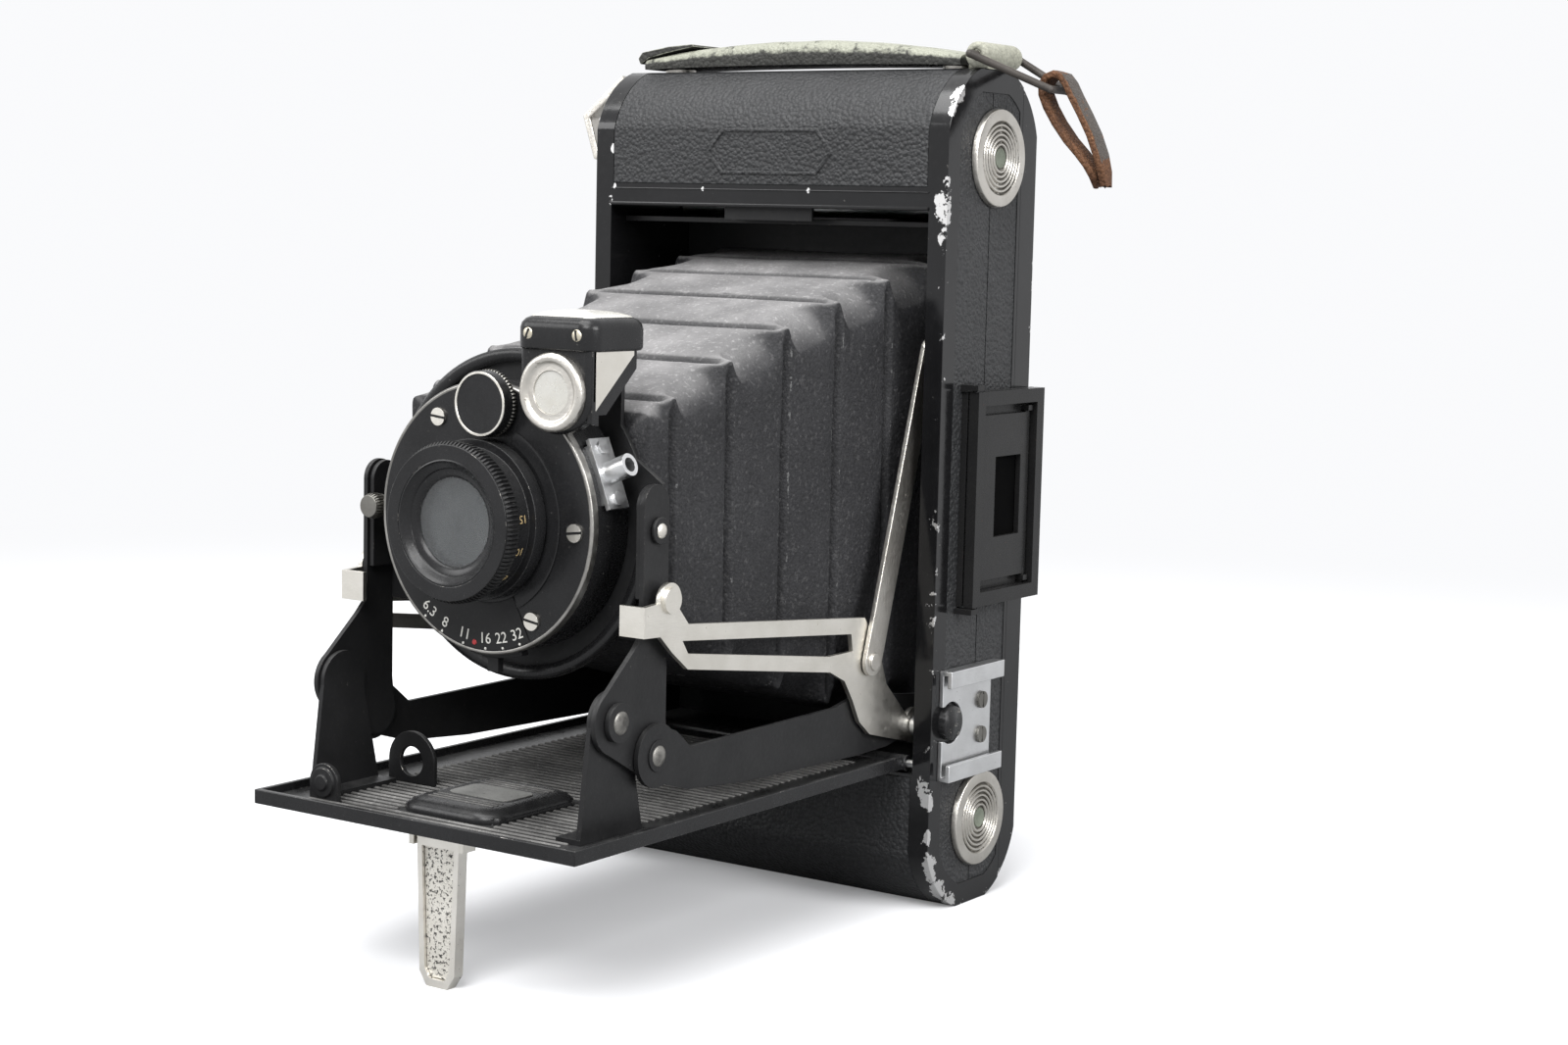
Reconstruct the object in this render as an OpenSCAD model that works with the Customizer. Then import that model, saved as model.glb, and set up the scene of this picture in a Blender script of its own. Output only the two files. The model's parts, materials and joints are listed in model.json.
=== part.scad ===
// Folding roll-film bellows camera, open on its stand.
// Millimetres. X runs across the camera, Z is up, and the lens looks along -Y.
// The origin is the middle of the flat that the body stands on.
// Forward distances are measured from the body's front face towards the lens.

/* [Body] */
// Width of the body
body_w = 80; // [72:0.5:90]
// Height of the body as it stands
body_h = 155.6; // [150:0.2:170]
// Depth of the body, back door included
body_d = 32.6; // [31:0.1:36]
// Thickness of each side wall
side_wall = 3.8; // [3:0.1:5]
// Thickness of the front, top and bottom sheet
sheet = 1.4; // [1:0.1:2]
// Width of the flat across each rounded end
end_flat = 11; // [8:0.5:16]
// Depth of the back door's tray
door_d = 6; // [5:0.1:7]
// Height of the lower edge of the front opening
opening_low = 26.4; // [25:0.1:28]
// Height of the closed top above the front opening
top_h = 26; // [25:0.1:28]
// Thickness of the leather covering
leather = 0.6; // [0.4:0.05:1]
// Width of the bare enamel edge beside the leather
enamel_edge = 4.2; // [3:0.1:6]
// Height of the bare strip above the opening
enamel_strip = 4.2; // [2:0.1:6]

/* [Film path] */
// Height of each spool axis from its end of the body
spool_in = 16; // [15:0.1:18]
// How far the spool axis lies behind the middle of the body
spool_back = 1.1; // [0:0.1:1.2]
// Radius of the spool flanges
spool_r = 9.5; // [8:0.1:10]
// Radius of the nickel cap over each spool bearing
cap_r = 9; // [8:0.1:9.1]
// Thickness of the film gate plate
gate_t = 1; // [0.8:0.1:1.5]
// Width of the picture window
window_w = 57; // [50:0.5:59]
// Height of the picture window
window_h = 86; // [80:0.5:88]
// Radius of the film guide rollers
roller_r = 1.5; // [1.2:0.1:1.6]

/* [Bed] */
// Length of the bed in front of the body
bed_len = 97; // [95:0.5:98]
// Thickness of the bed plate
bed_t = 1; // [0.8:0.1:1.4]
// Height of the rim above the bed plate
bed_rim = 1.5; // [1:0.1:2]
// Height of the bed hinge axis
hinge_z = 28.2; // [28:0.1:29]
// Depth of the bed hinge axis behind the front face
hinge_in = 0.9; // [0.8:0.1:1.4]
// Radius of the bed hinge pin
hinge_pin_r = 0.8; // [0.6:0.05:0.9]
// Forward distance of the stand's pivot
stand_f = 88.5; // [84:0.5:92]
// Width of the stand at its top
stand_w = 9.2; // [7:0.1:12]

/* [Front standard] */
// Height of the lens axis
lens_z = 77.2; // [75:0.1:79]
// Forward distance of the pivots between lens board and legs
standard_f = 71.5; // [68:0.1:74]
// Radius of the round part of the lens board
board_r = 26.3; // [25:0.1:27.5]
// Thickness of the lens board, legs, arms, struts and links
plate_t = 0.9; // [0.7:0.05:1]
// Gap between neighbouring linkage plates
plate_gap = 0.2; // [0.15:0.01:0.3]
// Radius of the linkage rivets
rivet_r = 1.5; // [1.2:0.1:1.8]
// Radial running clearance of pins, shafts and rivets
run = 0.05; // [0.02:0.01:0.09]

/* [Shutter and lens] */
// Radius of the shutter case
case_r = 22.6; // [21.5:0.1:23]
// Depth of the shutter case
case_d = 8.6; // [8:0.1:9]
// Thickness of the shutter's face plate
face_t = 1; // [0.8:0.1:1.2]
// Radius of the fixed lens barrel
barrel_r = 11; // [10.5:0.1:11.5]
// Radius of the knurled front of the focus ring
ring_r = 12.8; // [12.2:0.1:13.5]
// Forward distance of the focus ring's front face
ring_front = 88.4; // [87.5:0.1:89]
// Radius of the front lens
glass_r = 9; // [8:0.1:9.4]
// Radius of the speed dial
dial_r = 5.3; // [4.8:0.1:5.4]

/* [Finders and fittings] */
// Width of the reflecting finder
reflex_w = 14.7; // [13:0.1:15]
// Radius of the reflecting finder's front lens ring
reflex_ring_r = 6.9; // [6:0.1:7]
// Length of the frame finder along the body side
frame_l = 24.7; // [22:0.1:26]
// Height of the frame finder
frame_h = 39.7; // [36:0.1:44]
// Width of the frame finder's border
frame_border = 2.6; // [2:0.1:3.2]
// Length of the accessory shoe
shoe_l = 19.5; // [18:0.1:21]
// Height of the accessory shoe between its outer rail faces
shoe_h = 20.7; // [20:0.1:22]
// Radius of the bed release button
button_r = 3.2; // [2.5:0.1:3.4]
// Thread radius of the tripod bush
tripod_r = 3.1; // [3:0.05:4.7]
// Width of the carrying strap
strap_w = 13; // [10:0.5:16]
// Rise of the strap in its middle
strap_rise = 3; // [2:0.1:4]

/* [Hidden] */
$fn = 64;
eps = 0.01;
front = -body_d / 2;
half_w = body_w / 2;
inner_hw = half_w - side_wall;
end_r = body_d / 2 + 0.6;
end_c = sqrt(end_r * end_r - end_flat * end_flat / 4);
mid_z = body_h / 2;
opening_high = body_h - top_h;
door_f = door_d - body_d;
gap = 0.3;

// Spool axes and the film plane
spool_f = -body_d / 2 - spool_back;
spool_low = spool_in;
spool_high = body_h - spool_in;
gate_f = door_f + gate_t;
ceiling_z = opening_high - 2;
floor_z = opening_low;
deck = 1.2;

// Linkage pivots as [forward, height]
p_board = [standard_f, lens_z];
p_leg = p_board + [10.3, -29.9];
p_arm = p_leg + [-9.8, -6.8];
p_hinge = [-hinge_in, hinge_z];
p_arm_rear = [-10, 36.5];
p_strut = [-5.5, 34.5];
p_link_low = [10.7, 48.6];
p_link_high = [-6, opening_high - 25.6];
p_stud = [71, 66];
leg_lobe = 5.4;
arm_lobe = 4.2;
rivet_head = 2.6;

// Plate layers, from the lens board's flange outwards
bed_hw = inner_hw - 1.5;
flange_x = bed_hw - 6.2;
leg_x = flange_x + plate_t + plate_gap;
arm_x = leg_x + plate_t + plate_gap;
strut_x = arm_x + plate_t + 2 * plate_gap;
link_x = strut_x + plate_t + plate_gap;

// Bed levels
bed_under = hinge_z - 0.9;
bed_top = bed_under + bed_t;
stand_z = bed_under - leather - 1.7;
stand_t = 2.2;

// Shutter stack as forward distances
board_f = standard_f - 3.3;
case_f = board_f + plate_t;
face_f = case_f + case_d;
face_front = face_f + face_t;

// Finder swivel and reflecting finder
swivel = [18.5, lens_z + 25.3];
reflex_x = 16.6;
reflex_front = face_front + 2.7;
reflex_low = lens_z + 16.8;
reflex_cap = lens_z + 27.8;
reflex_high = lens_z + 33.5;
reflex_ring_z = lens_z + 21.9;

// Speed dial's stud
dial = [1.5, lens_z + 19.2];

// Frame finder seats on the right side
frame_f = -7.6;
frame_z = 57.3;
frame_base = 0.75;
frame_t = 2;
frame_pin = [half_w + 2.4, frame_f - 0.6];
eye_pin = [half_w + 1.9, frame_f - frame_l + frame_border + 1.5];
eye_t = 1;
shoe_z = 25.2;
shoe_f = -2.5;
shoe_t = 0.9;
button = [-5.6, 35.9];

// Strap and its fittings on the top
strap_t = 1.6;
strap_hx = half_w - 4;
strap_z = body_h + 1.2;
barrel = [half_w - 0.6, body_h + 2.4];
barrel_out = 2.2;
wire_r = 0.7;
loop_tip = [half_w + 11.2, body_h - 3.6];
thong_end = [half_w + 22, body_h - 20];

// Back hinge and the things on the door
knuckle_r = 1.15;
knuckle_gap = 0.25;
knuckle_hx = half_w - 10;
pin_back = body_d / 2 - door_d + 0.8;
back_pin = [-body_d / 2 - pin_back, end_c - sqrt(pow(end_r + knuckle_r + knuckle_gap, 2) - pin_back * pin_back)];
red_z = 52;
red_r = 6;
cover_x = red_r + 3.4;
latch_z = body_h - 21.6;

// A flat outline in forward and height, made t thick from x outwards
module plate(x, t) {
    translate([x + t, front, 0])
        rotate([90, 0, -90])
            linear_extrude(t)
                children();
}

// An outline in x and height, filling the stretch between two forward distances
module slice(f0, f1) {
    translate([0, front - f0, 0])
        rotate([90, 0, 0])
            linear_extrude(f1 - f0)
                children();
}

// A round bar along Y between two forward distances
module turned(x, z, f0, f1, r) {
    translate([x, front - f0, z])
        rotate([90, 0, 0])
            cylinder(h = f1 - f0, r = r);
}

// A round bar across the camera at a [forward, height] point
module cross_bar(p, x0, x1, r) {
    translate([x0, front - p[0], p[1]])
        rotate([0, 90, 0])
            cylinder(h = x1 - x0, r = r);
}

// A round bar from point a to point b
module rod(a, b, r) {
    d = b - a;
    translate(a)
        rotate([0, acos(d[2] / norm(d)), atan2(d[1], d[0])])
            cylinder(h = norm(d), r = r);
}

// A box from one corner to the other
module block(a, b) {
    translate(a)
        cube(b - a);
}

// A box whose depth is given by forward distances
module fblock(x0, x1, f0, f1, z0, z1) {
    block([x0, front - f1, z0], [x1, front - f0, z1]);
}

// The shape and its mirror image on the other side
module both() {
    children();
    mirror([1, 0, 0]) children();
}

// Outline of the body seen from the side, drawn in by inset
module side_outline(inset) {
    intersection() {
        translate([-body_d + inset, inset])
            square([body_d - 2 * inset, body_h - 2 * inset]);
        union() {
            for (z = [end_c, body_h - end_c])
                translate([-body_d / 2, z])
                    circle(r = end_r - inset);
            translate([-body_d, end_c])
                square([body_d, body_h - 2 * end_c]);
        }
    }
}

// Side view of everything ahead of the door seam
module ahead_of_door(f) {
    translate([f, -1])
        square([body_d + 2, body_h + 2]);
}

// Leather skin of one end of the body, seen from the side
module end_skin(z0, z1, deep) {
    intersection() {
        difference() {
            side_outline(0);
            side_outline(deep);
        }
        translate([door_f + 1, z0])
            square([body_d, z1 - z0]);
    }
}

// Leather panel of one side of the body
module side_panel() {
    difference() {
        intersection() {
            side_outline(enamel_edge);
            ahead_of_door(door_f + 1);
        }
        for (z = [spool_low, spool_high])
            translate([spool_f, z])
                circle(r = cap_r + 0.2);
        translate(button)
            circle(r = button_r + 0.4);
    }
}

module body_casing() {
    recess = leather + 0.1;
    color("#17181a")
        difference() {
            union() {
                plate(-half_w, body_w)
                    intersection() {
                        side_outline(0);
                        ahead_of_door(door_f);
                    }
                both()
                    difference() {
                        cross_bar(back_pin, 12, knuckle_hx, knuckle_r);
                        cross_bar(back_pin, 11, knuckle_hx + 1, 0.75);
                    }
                both()
                    fblock(12, knuckle_hx, back_pin[0] + 0.9, door_f + 2.6, back_pin[1] - 0.6, back_pin[1] + 2.4);
            }
            plate(-inner_hw, 2 * inner_hw)
                side_outline(sheet);
            fblock(-inner_hw, inner_hw, -sheet - 1, 1, opening_low, opening_high);
            plate(-half_w + enamel_edge, body_w - 2 * enamel_edge) {
                end_skin(opening_high + enamel_strip, body_h + 1, recess);
                end_skin(-1, opening_low - 0.6, recess);
            }
            both()
                plate(half_w - recess, recess + 1)
                    side_panel();
            for (z = [spool_low, spool_high]) {
                cross_bar([spool_f, z], inner_hw - 1, half_w, 3 + run);
                cross_bar([spool_f, z], -half_w - 1, -inner_hw + 1, 2.5 + run);
            }
            for (z = [floor_z - deck - roller_r - 0.6, ceiling_z + roller_r + 0.5])
                cross_bar([gate_f + 1.2, z], -inner_hw - 2, inner_hw + 2, 0.8 + run);
            cross_bar(button, inner_hw + 1.2, half_w + 1, button_r + run);
            cross_bar([-body_d / 2, mid_z], -half_w - 1, -inner_hw + 1, tripod_r + 1.6);
        }
}

module end_leather() {
    color("#26272a")
        plate(-half_w + enamel_edge + 0.1, body_w - 2 * enamel_edge - 0.2) {
            end_skin(opening_high + enamel_strip + 0.1, body_h + 1, leather);
            end_skin(-1, opening_low - 0.7, leather);
        }
}

module side_leather() {
    color("#26272a")
        both()
            plate(half_w - leather - 0.1, leather)
                difference() {
                    side_panel();
                    translate([-body_d / 2, mid_z])
                        circle(r = tripod_r + 1.7);
                }
}

module film_gate() {
    color("#141414")
        difference() {
            union() {
                fblock(-inner_hw, inner_hw, door_f, gate_f, floor_z - deck, ceiling_z);
                fblock(-inner_hw, inner_hw, gate_f - gate_t / 2, -sheet, floor_z - deck, floor_z);
                fblock(-inner_hw, inner_hw, gate_f - gate_t / 2, -sheet - 3.4, ceiling_z - 1, ceiling_z);
            }
            fblock(-window_w / 2, window_w / 2, door_f - 1, gate_f + 1, mid_z - window_h / 2, mid_z + window_h / 2);
        }
}

// A guide roller with its two stub axles
module roller(z) {
    color("#b9b7ad") {
        cross_bar([gate_f + 1.2, z], -inner_hw + gap, inner_hw - gap, roller_r);
        cross_bar([gate_f + 1.2, z], -inner_hw - 1.7, inner_hw + 1.7, 0.8);
    }
}

module roller_top() roller(ceiling_z + roller_r + 0.5);
module roller_bottom() roller(floor_z - deck - roller_r - 0.6);

// Ringed caps that close the spool bearings on the right side
module spool_caps() {
    ring_step = cap_r / 6;
    color("#cfcabb")
        for (z = [spool_low, spool_high])
            difference() {
                union() {
                    cross_bar([spool_f, z], half_w, half_w + 1, cap_r);
                    cross_bar([spool_f, z], inner_hw - 6, half_w + 0.5, 3);
                }
                for (i = [2 : 5])
                    difference() {
                        cross_bar([spool_f, z], half_w + 0.6, half_w + 2, i * ring_step + 0.3);
                        cross_bar([spool_f, z], half_w, half_w + 2, i * ring_step - 0.3);
                    }
            }
}

module supply_pins() {
    color("#b9b7ad") {
        cross_bar([spool_f, spool_low], -half_w, -inner_hw + 5, 2.5);
        cross_bar([spool_f, spool_low], -inner_hw, -inner_hw + 1, 5);
    }
}

module takeup_spool() {
    hw = inner_hw - 2.4;
    color("#3a3a3c")
        difference() {
            union() {
                cross_bar([spool_f, spool_high], -hw, hw, 5);
                for (x = [-hw, hw - 1])
                    cross_bar([spool_f, spool_high], x, x + 1, spool_r);
            }
            cross_bar([spool_f, spool_high], hw - 8, hw + 1, 3 + run);
            cross_bar([spool_f, spool_high], -hw - 1, -hw + 8, 2.5 + run);
        }
}

// Winding key: a hub on its shaft with a bent finger strip
module winding_key() {
    bend = [for (q = [[2, -4], [8.5, -1.5], [15, 7.8], [9, 13.6]]) [-half_w - q[0], q[1]]];
    hub_r = 7.5;
    strip_w = 8;
    strip_t = 1.2;
    color("#c9c5b8") {
        cross_bar([spool_f, spool_high], -half_w - 2, -half_w - gap, hub_r);
        cross_bar([spool_f, spool_high], -half_w - 1, -inner_hw + 5, 2.5);
        for (i = [0 : len(bend) - 2]) {
            run_v = bend[i + 1] - bend[i];
            translate([bend[i][0], front - spool_f - strip_w / 2, spool_high + bend[i][1]])
                rotate([0, -atan2(run_v[1], run_v[0]), 0])
                    translate([-0.3, 0, -strip_t / 2])
                        cube([norm(run_v) + 0.6, strip_w, strip_t]);
        }
    }
}

module tripod_bush() {
    color("#c2a65a")
        difference() {
            cross_bar([-body_d / 2, mid_z], -half_w, -inner_hw, tripod_r + 1.6);
            cross_bar([-body_d / 2, mid_z], -half_w - 1, -inner_hw + 1, tripod_r);
        }
}

module accessory_shoe() {
    x0 = half_w;
    rail_z = [shoe_z, shoe_z + shoe_h - 0.9];
    lip = 3.2;
    rail_h = 2.6;
    color("#c4c7c8")
        difference() {
            union() {
                fblock(x0, x0 + shoe_t, shoe_f - shoe_l + 2, shoe_f, shoe_z, shoe_z + shoe_h);
                for (z = rail_z)
                    fblock(x0, x0 + rail_h, shoe_f - shoe_l, shoe_f, z, z + 0.9);
                fblock(x0 + rail_h - 0.9, x0 + rail_h, shoe_f - shoe_l, shoe_f, shoe_z, shoe_z + lip);
                fblock(x0 + rail_h - 0.9, x0 + rail_h, shoe_f - shoe_l, shoe_f, shoe_z + shoe_h - lip, shoe_z + shoe_h);
            }
            cross_bar(button, x0 - 1, x0 + 4, button_r + 0.7);
            fblock(x0 - 1, x0 + shoe_t + 0.2, button[0], shoe_f + 1, button[1] - button_r, button[1] + button_r);
            for (z = [-3.3, 3.3])
                cross_bar([shoe_f - 13.8, shoe_z + shoe_h / 2 + z], x0 - 1, x0 + 2, 1 + run);
        }
}

module shoe_screws() {
    x0 = half_w;
    color("#a8a596")
        for (z = [-3.3, 3.3]) {
            p = [shoe_f - 13.8, shoe_z + shoe_h / 2 + z];
            cross_bar(p, x0, x0 + shoe_t + 0.5, 1);
            difference() {
                cross_bar(p, x0 + shoe_t, x0 + shoe_t + 0.6, 1.6);
                fblock(x0 + shoe_t + 0.3, x0 + 4, p[0] - 0.25, p[0] + 0.25, p[1] - 2, p[1] + 2);
            }
        }
}

module bed_button() {
    color("#1b1b1d") {
        cross_bar(button, inner_hw + 2.8, half_w + 1.6, button_r);
        cross_bar(button, half_w + 1, half_w + 2.2, button_r - 0.8);
    }
}

// Base of the folding frame finder, with lugs for both hinges
module finder_base() {
    x0 = half_w - 0.1;
    x1 = half_w + 0.4 + frame_base;
    z1 = frame_z + frame_h;
    color("#1c1d1f")
        difference() {
            union() {
                fblock(half_w + 0.4, x1, frame_f - frame_l, frame_f, frame_z, z1);
                fblock(x0, x1, door_f + 1.2, frame_f, frame_z, z1);
                for (z = [frame_z - 1.3, z1 + gap])
                    fblock(x0, frame_pin[0] + 1.2, frame_pin[1] - 1.1, frame_f + 0.6, z, z + 1);
                for (z = [frame_z - 1.3, z1])
                    fblock(x0, x1, frame_pin[1] - 1.1, frame_f + 0.6, z, z + gap + 0.1);
                for (z = [frame_z + 3.2, z1 - 4.2])
                    fblock(x0 + 0.5, eye_pin[0] + 1, eye_pin[1] - 0.8, eye_pin[1] + 0.8, z, z + 1);
            }
            for (p = [frame_pin, eye_pin])
                translate([p[0], front - p[1], frame_z - 3])
                    cylinder(h = frame_h + 6, r = 0.55 + run);
        }
}

// Outer frame, hinged along its front edge
module finder_frame() {
    z1 = frame_z + frame_h;
    x0 = half_w + 1.5;
    color("#1c1d1f") {
        difference() {
            fblock(x0, x0 + frame_t, frame_f - frame_l, frame_f, frame_z, z1);
            fblock(x0 - 1, x0 + frame_t + 1, frame_f - frame_l + frame_border, frame_f - frame_border,
                frame_z + frame_border, z1 - frame_border);
        }
        for (z = [frame_z - 1.2, z1 - 1])
            translate([frame_pin[0], front - frame_pin[1], z])
                cylinder(h = 2.2, r = 0.55);
    }
}

// Inner sight plate with its window, hinged along its rear edge
module finder_eyepiece() {
    z0 = frame_z + 4.5;
    z1 = frame_z + frame_h - 4.5;
    f0 = eye_pin[1] - 0.55;
    f1 = frame_f - frame_border - 0.8;
    color("#141416") {
        difference() {
            fblock(eye_pin[0] - eye_t / 2, eye_pin[0] + eye_t / 2, f0, f1, z0, z1);
            fblock(half_w, half_w + 5, f0 + 3, f0 + 12.4, frame_z + frame_h / 2 - 7.5, frame_z + frame_h / 2 + 7.5);
        }
        for (z = [z0 - 1.2, z1 - 1])
            translate([eye_pin[0], front - eye_pin[1], z])
                cylinder(h = 2.2, r = 0.55);
    }
}

module bed_hinge_pin() {
    color("#8d8a80")
        cross_bar(p_hinge, -inner_hw, inner_hw, hinge_pin_r);
}

module back_hinge_pin() {
    color("#8d8a80")
        cross_bar(back_pin, -knuckle_hx, knuckle_hx, 0.75 - run);
}

// Spring catch behind the bare strip above the opening
module bed_latch() {
    color("#a9a69a") {
        fblock(-10, 10, -sheet - 0.8, -sheet, opening_high - 2.4, opening_high + 5);
        fblock(-3, 3, -sheet - 3, -sheet - 0.8, opening_high - 2.4, opening_high - 1.6);
    }
}

// Studs on the inner side walls that carry the struts and the links
module wall_pivots() {
    color("#9a978c")
        both() {
            cross_bar(p_strut, strut_x - gap, inner_hw, rivet_r - run);
            cross_bar(p_strut, link_x, inner_hw, rivet_r + 0.5);
            cross_bar(p_link_high, link_x - 0.1, inner_hw, rivet_r - run);
            cross_bar(p_link_high, link_x + plate_t + plate_gap, inner_hw, rivet_r + 0.8);
        }
}

// Pleated bellows: eight-cornered rings, ridge and valley by turns
pleats = 6;
bellows_back = gate_f;
bellows_len = board_f - bellows_back;
ridge_drop = 2.4;
bellows_skin = 0.8;
function bellows_hw(t) = flange_x + 2.5 - 5.5 * t;
bellows_high = opening_high - lens_z - 8.4;
bellows_low = board_r - 8.3;
function bellows_hh(t) = bellows_high - (bellows_high - bellows_low) * pow(t, 1.5);
function bellows_ring(i, inset) =
    let (t = i / (2 * pleats))
    let (low = (i % 2 == 0 && i > 0 && i < 2 * pleats) ? ridge_drop : 0)
    let (w = bellows_hw(t) - low * 0.6 - inset, h = bellows_hh(t) - low - inset)
    let (c = 6.5 - 2.5 * t)
    let (y = front - bellows_back - bellows_len * t)
    [for (q = [[w, h - c], [w - c, h], [c - w, h], [-w, h - c], [-w, c - h], [c - w, -h], [w - c, -h], [w, c - h]])
        [q[0], y, lens_z + q[1]]];

module bellows() {
    rings = 2 * pleats + 1;
    outer = [for (i = [0 : rings - 1]) each bellows_ring(i, 0)];
    inner = [for (i = [0 : rings - 1]) each bellows_ring(i, bellows_skin)];
    m = rings * 8;
    walls = [for (i = [0 : rings - 2], k = [0 : 7])
        let (a = i * 8 + k, b = i * 8 + (k + 1) % 8)
        each [[a, b, b + 8], [a, b + 8, a + 8], [m + a, m + b + 8, m + b], [m + a, m + a + 8, m + b + 8]]];
    lips = [for (k = [0 : 7])
        let (b = (k + 1) % 8, e = (rings - 1) * 8)
        each [[k, m + k, m + b], [k, m + b, b], [e + k, e + b, m + e + b], [e + k, m + e + b, m + e + k]]];
    color("#2b2b2d")
        polyhedron(points = concat(outer, inner), faces = concat(walls, lips));
}

// Carrying strap, bowed over the top, with its turned-back left end
module handle_strap() {
    bow = (strap_hx * strap_hx + strap_rise * strap_rise) / (2 * strap_rise);
    top = strap_z + strap_rise;
    f0 = -body_d / 2 - strap_w / 2;
    color("#6f6a5e") {
        slice(f0, f0 + strap_w)
            intersection() {
                difference() {
                    translate([0, top - bow]) circle(r = bow + strap_t, $fn = 180);
                    translate([0, top - bow]) circle(r = bow, $fn = 180);
                }
                translate([-strap_hx, strap_z - 1]) square([2 * strap_hx, strap_rise + strap_t + 3]);
            }
        slice(f0 + 1, f0 + strap_w - 1)
            intersection() {
                difference() {
                    translate([0, top - bow]) circle(r = bow + 2 * strap_t, $fn = 180);
                    translate([0, top - bow]) circle(r = bow + strap_t - 0.05, $fn = 180);
                }
                translate([-strap_hx, strap_z - 1]) square([12, strap_rise + 3 * strap_t]);
            }
    }
}

// Posts that hold the strap off the top of the body
module strap_posts() {
    color("#b9b4a3")
        for (x = [-strap_hx + 4, strap_hx - 4])
            translate([x, 0, body_h])
                cylinder(h = strap_z - body_h + 1, r = 3);
}

// Rolled barrel at the right end of the strap, on its foot
module strap_barrel() {
    f0 = -body_d / 2 - strap_w / 2;
    color("#b9b6a8")
        difference() {
            union() {
                turned(barrel[0], barrel[1], f0, f0 + strap_w, barrel_out);
                fblock(half_w - 3.6, barrel[0] + 1, -body_d / 2 - 4, -body_d / 2 + 4, body_h, barrel[1] - 1);
            }
            turned(barrel[0], barrel[1], f0 - 1, f0 + strap_w + 1, wire_r + run);
        }
}

// Wire loop that swings in the barrel
module wire_loop() {
    y0 = -strap_w / 2 - 2.4;
    y1 = strap_w / 2 + 2.4;
    a = [barrel[0], y0, barrel[1]];
    b = [barrel[0], y1, barrel[1]];
    c = [loop_tip[0], 0, loop_tip[1]];
    d = [loop_tip[0], 6.4, loop_tip[1]];
    color("#77746c") {
        rod(a, b, wire_r);
        rod(a, c, wire_r);
        rod(c, d, wire_r);
        rod(d, b, wire_r);
        for (p = [a, b, c, d])
            translate(p) sphere(r = wire_r + 0.06, $fn = 24);
    }
}

// Torn leather thong hanging on the loop
module leather_thong() {
    along = thong_end - loop_tip;
    tilt = atan2(along[1], along[0]);
    reach = norm(along);
    head = 3.6;
    color("#5a3a24")
        translate([loop_tip[0], front + body_d / 2 + 1, loop_tip[1]])
            rotate([0, -tilt, 0])
                rotate([90, 0, 0])
                    mirror([0, 0, 1])
                        linear_extrude(4.4)
                            difference() {
                                union() {
                                    circle(r = head);
                                    polygon([[0, head], [reach * 0.55, head - 0.6], [reach * 0.8, 1.4], [reach, 2],
                                        [reach - 1, 0], [reach + 0.6, -1.6], [reach * 0.8, -1.6],
                                        [reach * 0.55, 0.6 - head], [0, -head]]);
                                }
                                circle(r = 1.6);
                                polygon([[0, 1.6], [reach * 0.5, 1.6], [reach * 0.68, 0], [reach * 0.5, -1.6], [0, -1.6]]);
                            }
}

// Back door: a shallow tray with curved ends
module back_door() {
    color("#17181a")
        difference() {
            union() {
                plate(-half_w, body_w)
                    difference() {
                        side_outline(0);
                        ahead_of_door(door_f - 0.1);
                    }
                cross_bar(back_pin, -11.5, 11.5, knuckle_r);
                turned(cover_x, red_z, -body_d - 0.8, -body_d + 1, 1);
                fblock(-11.5, 11.5, back_pin[0] - 2.6, back_pin[0] - 0.6, back_pin[1] - 0.4, back_pin[1] + 3.4);
            }
            difference() {
                plate(-half_w + 3, body_w - 6)
                    back_skin(leather + 0.1);
                turned(cover_x, red_z, -body_d - 1, 0, 1);
            }
            difference() {
                plate(-half_w + 1.2, body_w - 2.4)
                    side_outline(1.2);
                fblock(-half_w, half_w, -body_d, 0, -1, back_pin[1] + 2);
            }
            cross_bar(back_pin, -12, 12, 0.75 + run);
            turned(0, red_z, -body_d - 1, door_f, red_r + 0.6 + run);
        }
}

// Leather skin of the back, seen from the side
module back_skin(deep) {
    intersection() {
        difference() {
            side_outline(0);
            side_outline(deep);
        }
        translate([-body_d - 1, 7])
            square([door_d - 2, body_h - 14]);
    }
}

module back_leather() {
    color("#26272a")
        difference() {
            plate(-half_w + 3.1, body_w - 6.2)
                back_skin(leather);
            turned(0, red_z, -body_d - 1, door_f, red_r + 2.4);
            turned(cover_x, red_z, -body_d - 1, door_f, 1.1);
            fblock(-9.2, 9.2, -body_d - 1, -body_d + 2, latch_z - 4.2, latch_z + 4.2);
        }
}

// Spring-loaded plate that keeps the film flat
module pressure_plate() {
    color("#1b1b1b")
        difference() {
            fblock(-window_w / 2 - 2, window_w / 2 + 2, door_f - 1.6, door_f - 0.7,
                mid_z - window_h / 2 - 2, mid_z + window_h / 2 + 2);
            turned(0, red_z, door_f - 3, door_f, red_r - 1);
        }
}

// Two bowed leaf springs between the plate and the door
module pressure_springs() {
    bow = 60;
    depth = door_d - 1.2 - 1.6;
    color("#a39f92")
        for (z = [mid_z - 3, mid_z + 22])
            intersection() {
                translate([0, 0, z])
                    linear_extrude(6)
                        difference() {
                            translate([0, front - door_f + 1.6 + bow]) circle(r = bow, $fn = 180);
                            translate([0, front - door_f + 1.6 + bow]) circle(r = bow - 0.4, $fn = 180);
                        }
                fblock(-26, 26, door_f - 1.6 - depth, door_f - 1.6, z - 1, z + 7);
            }
}

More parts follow.
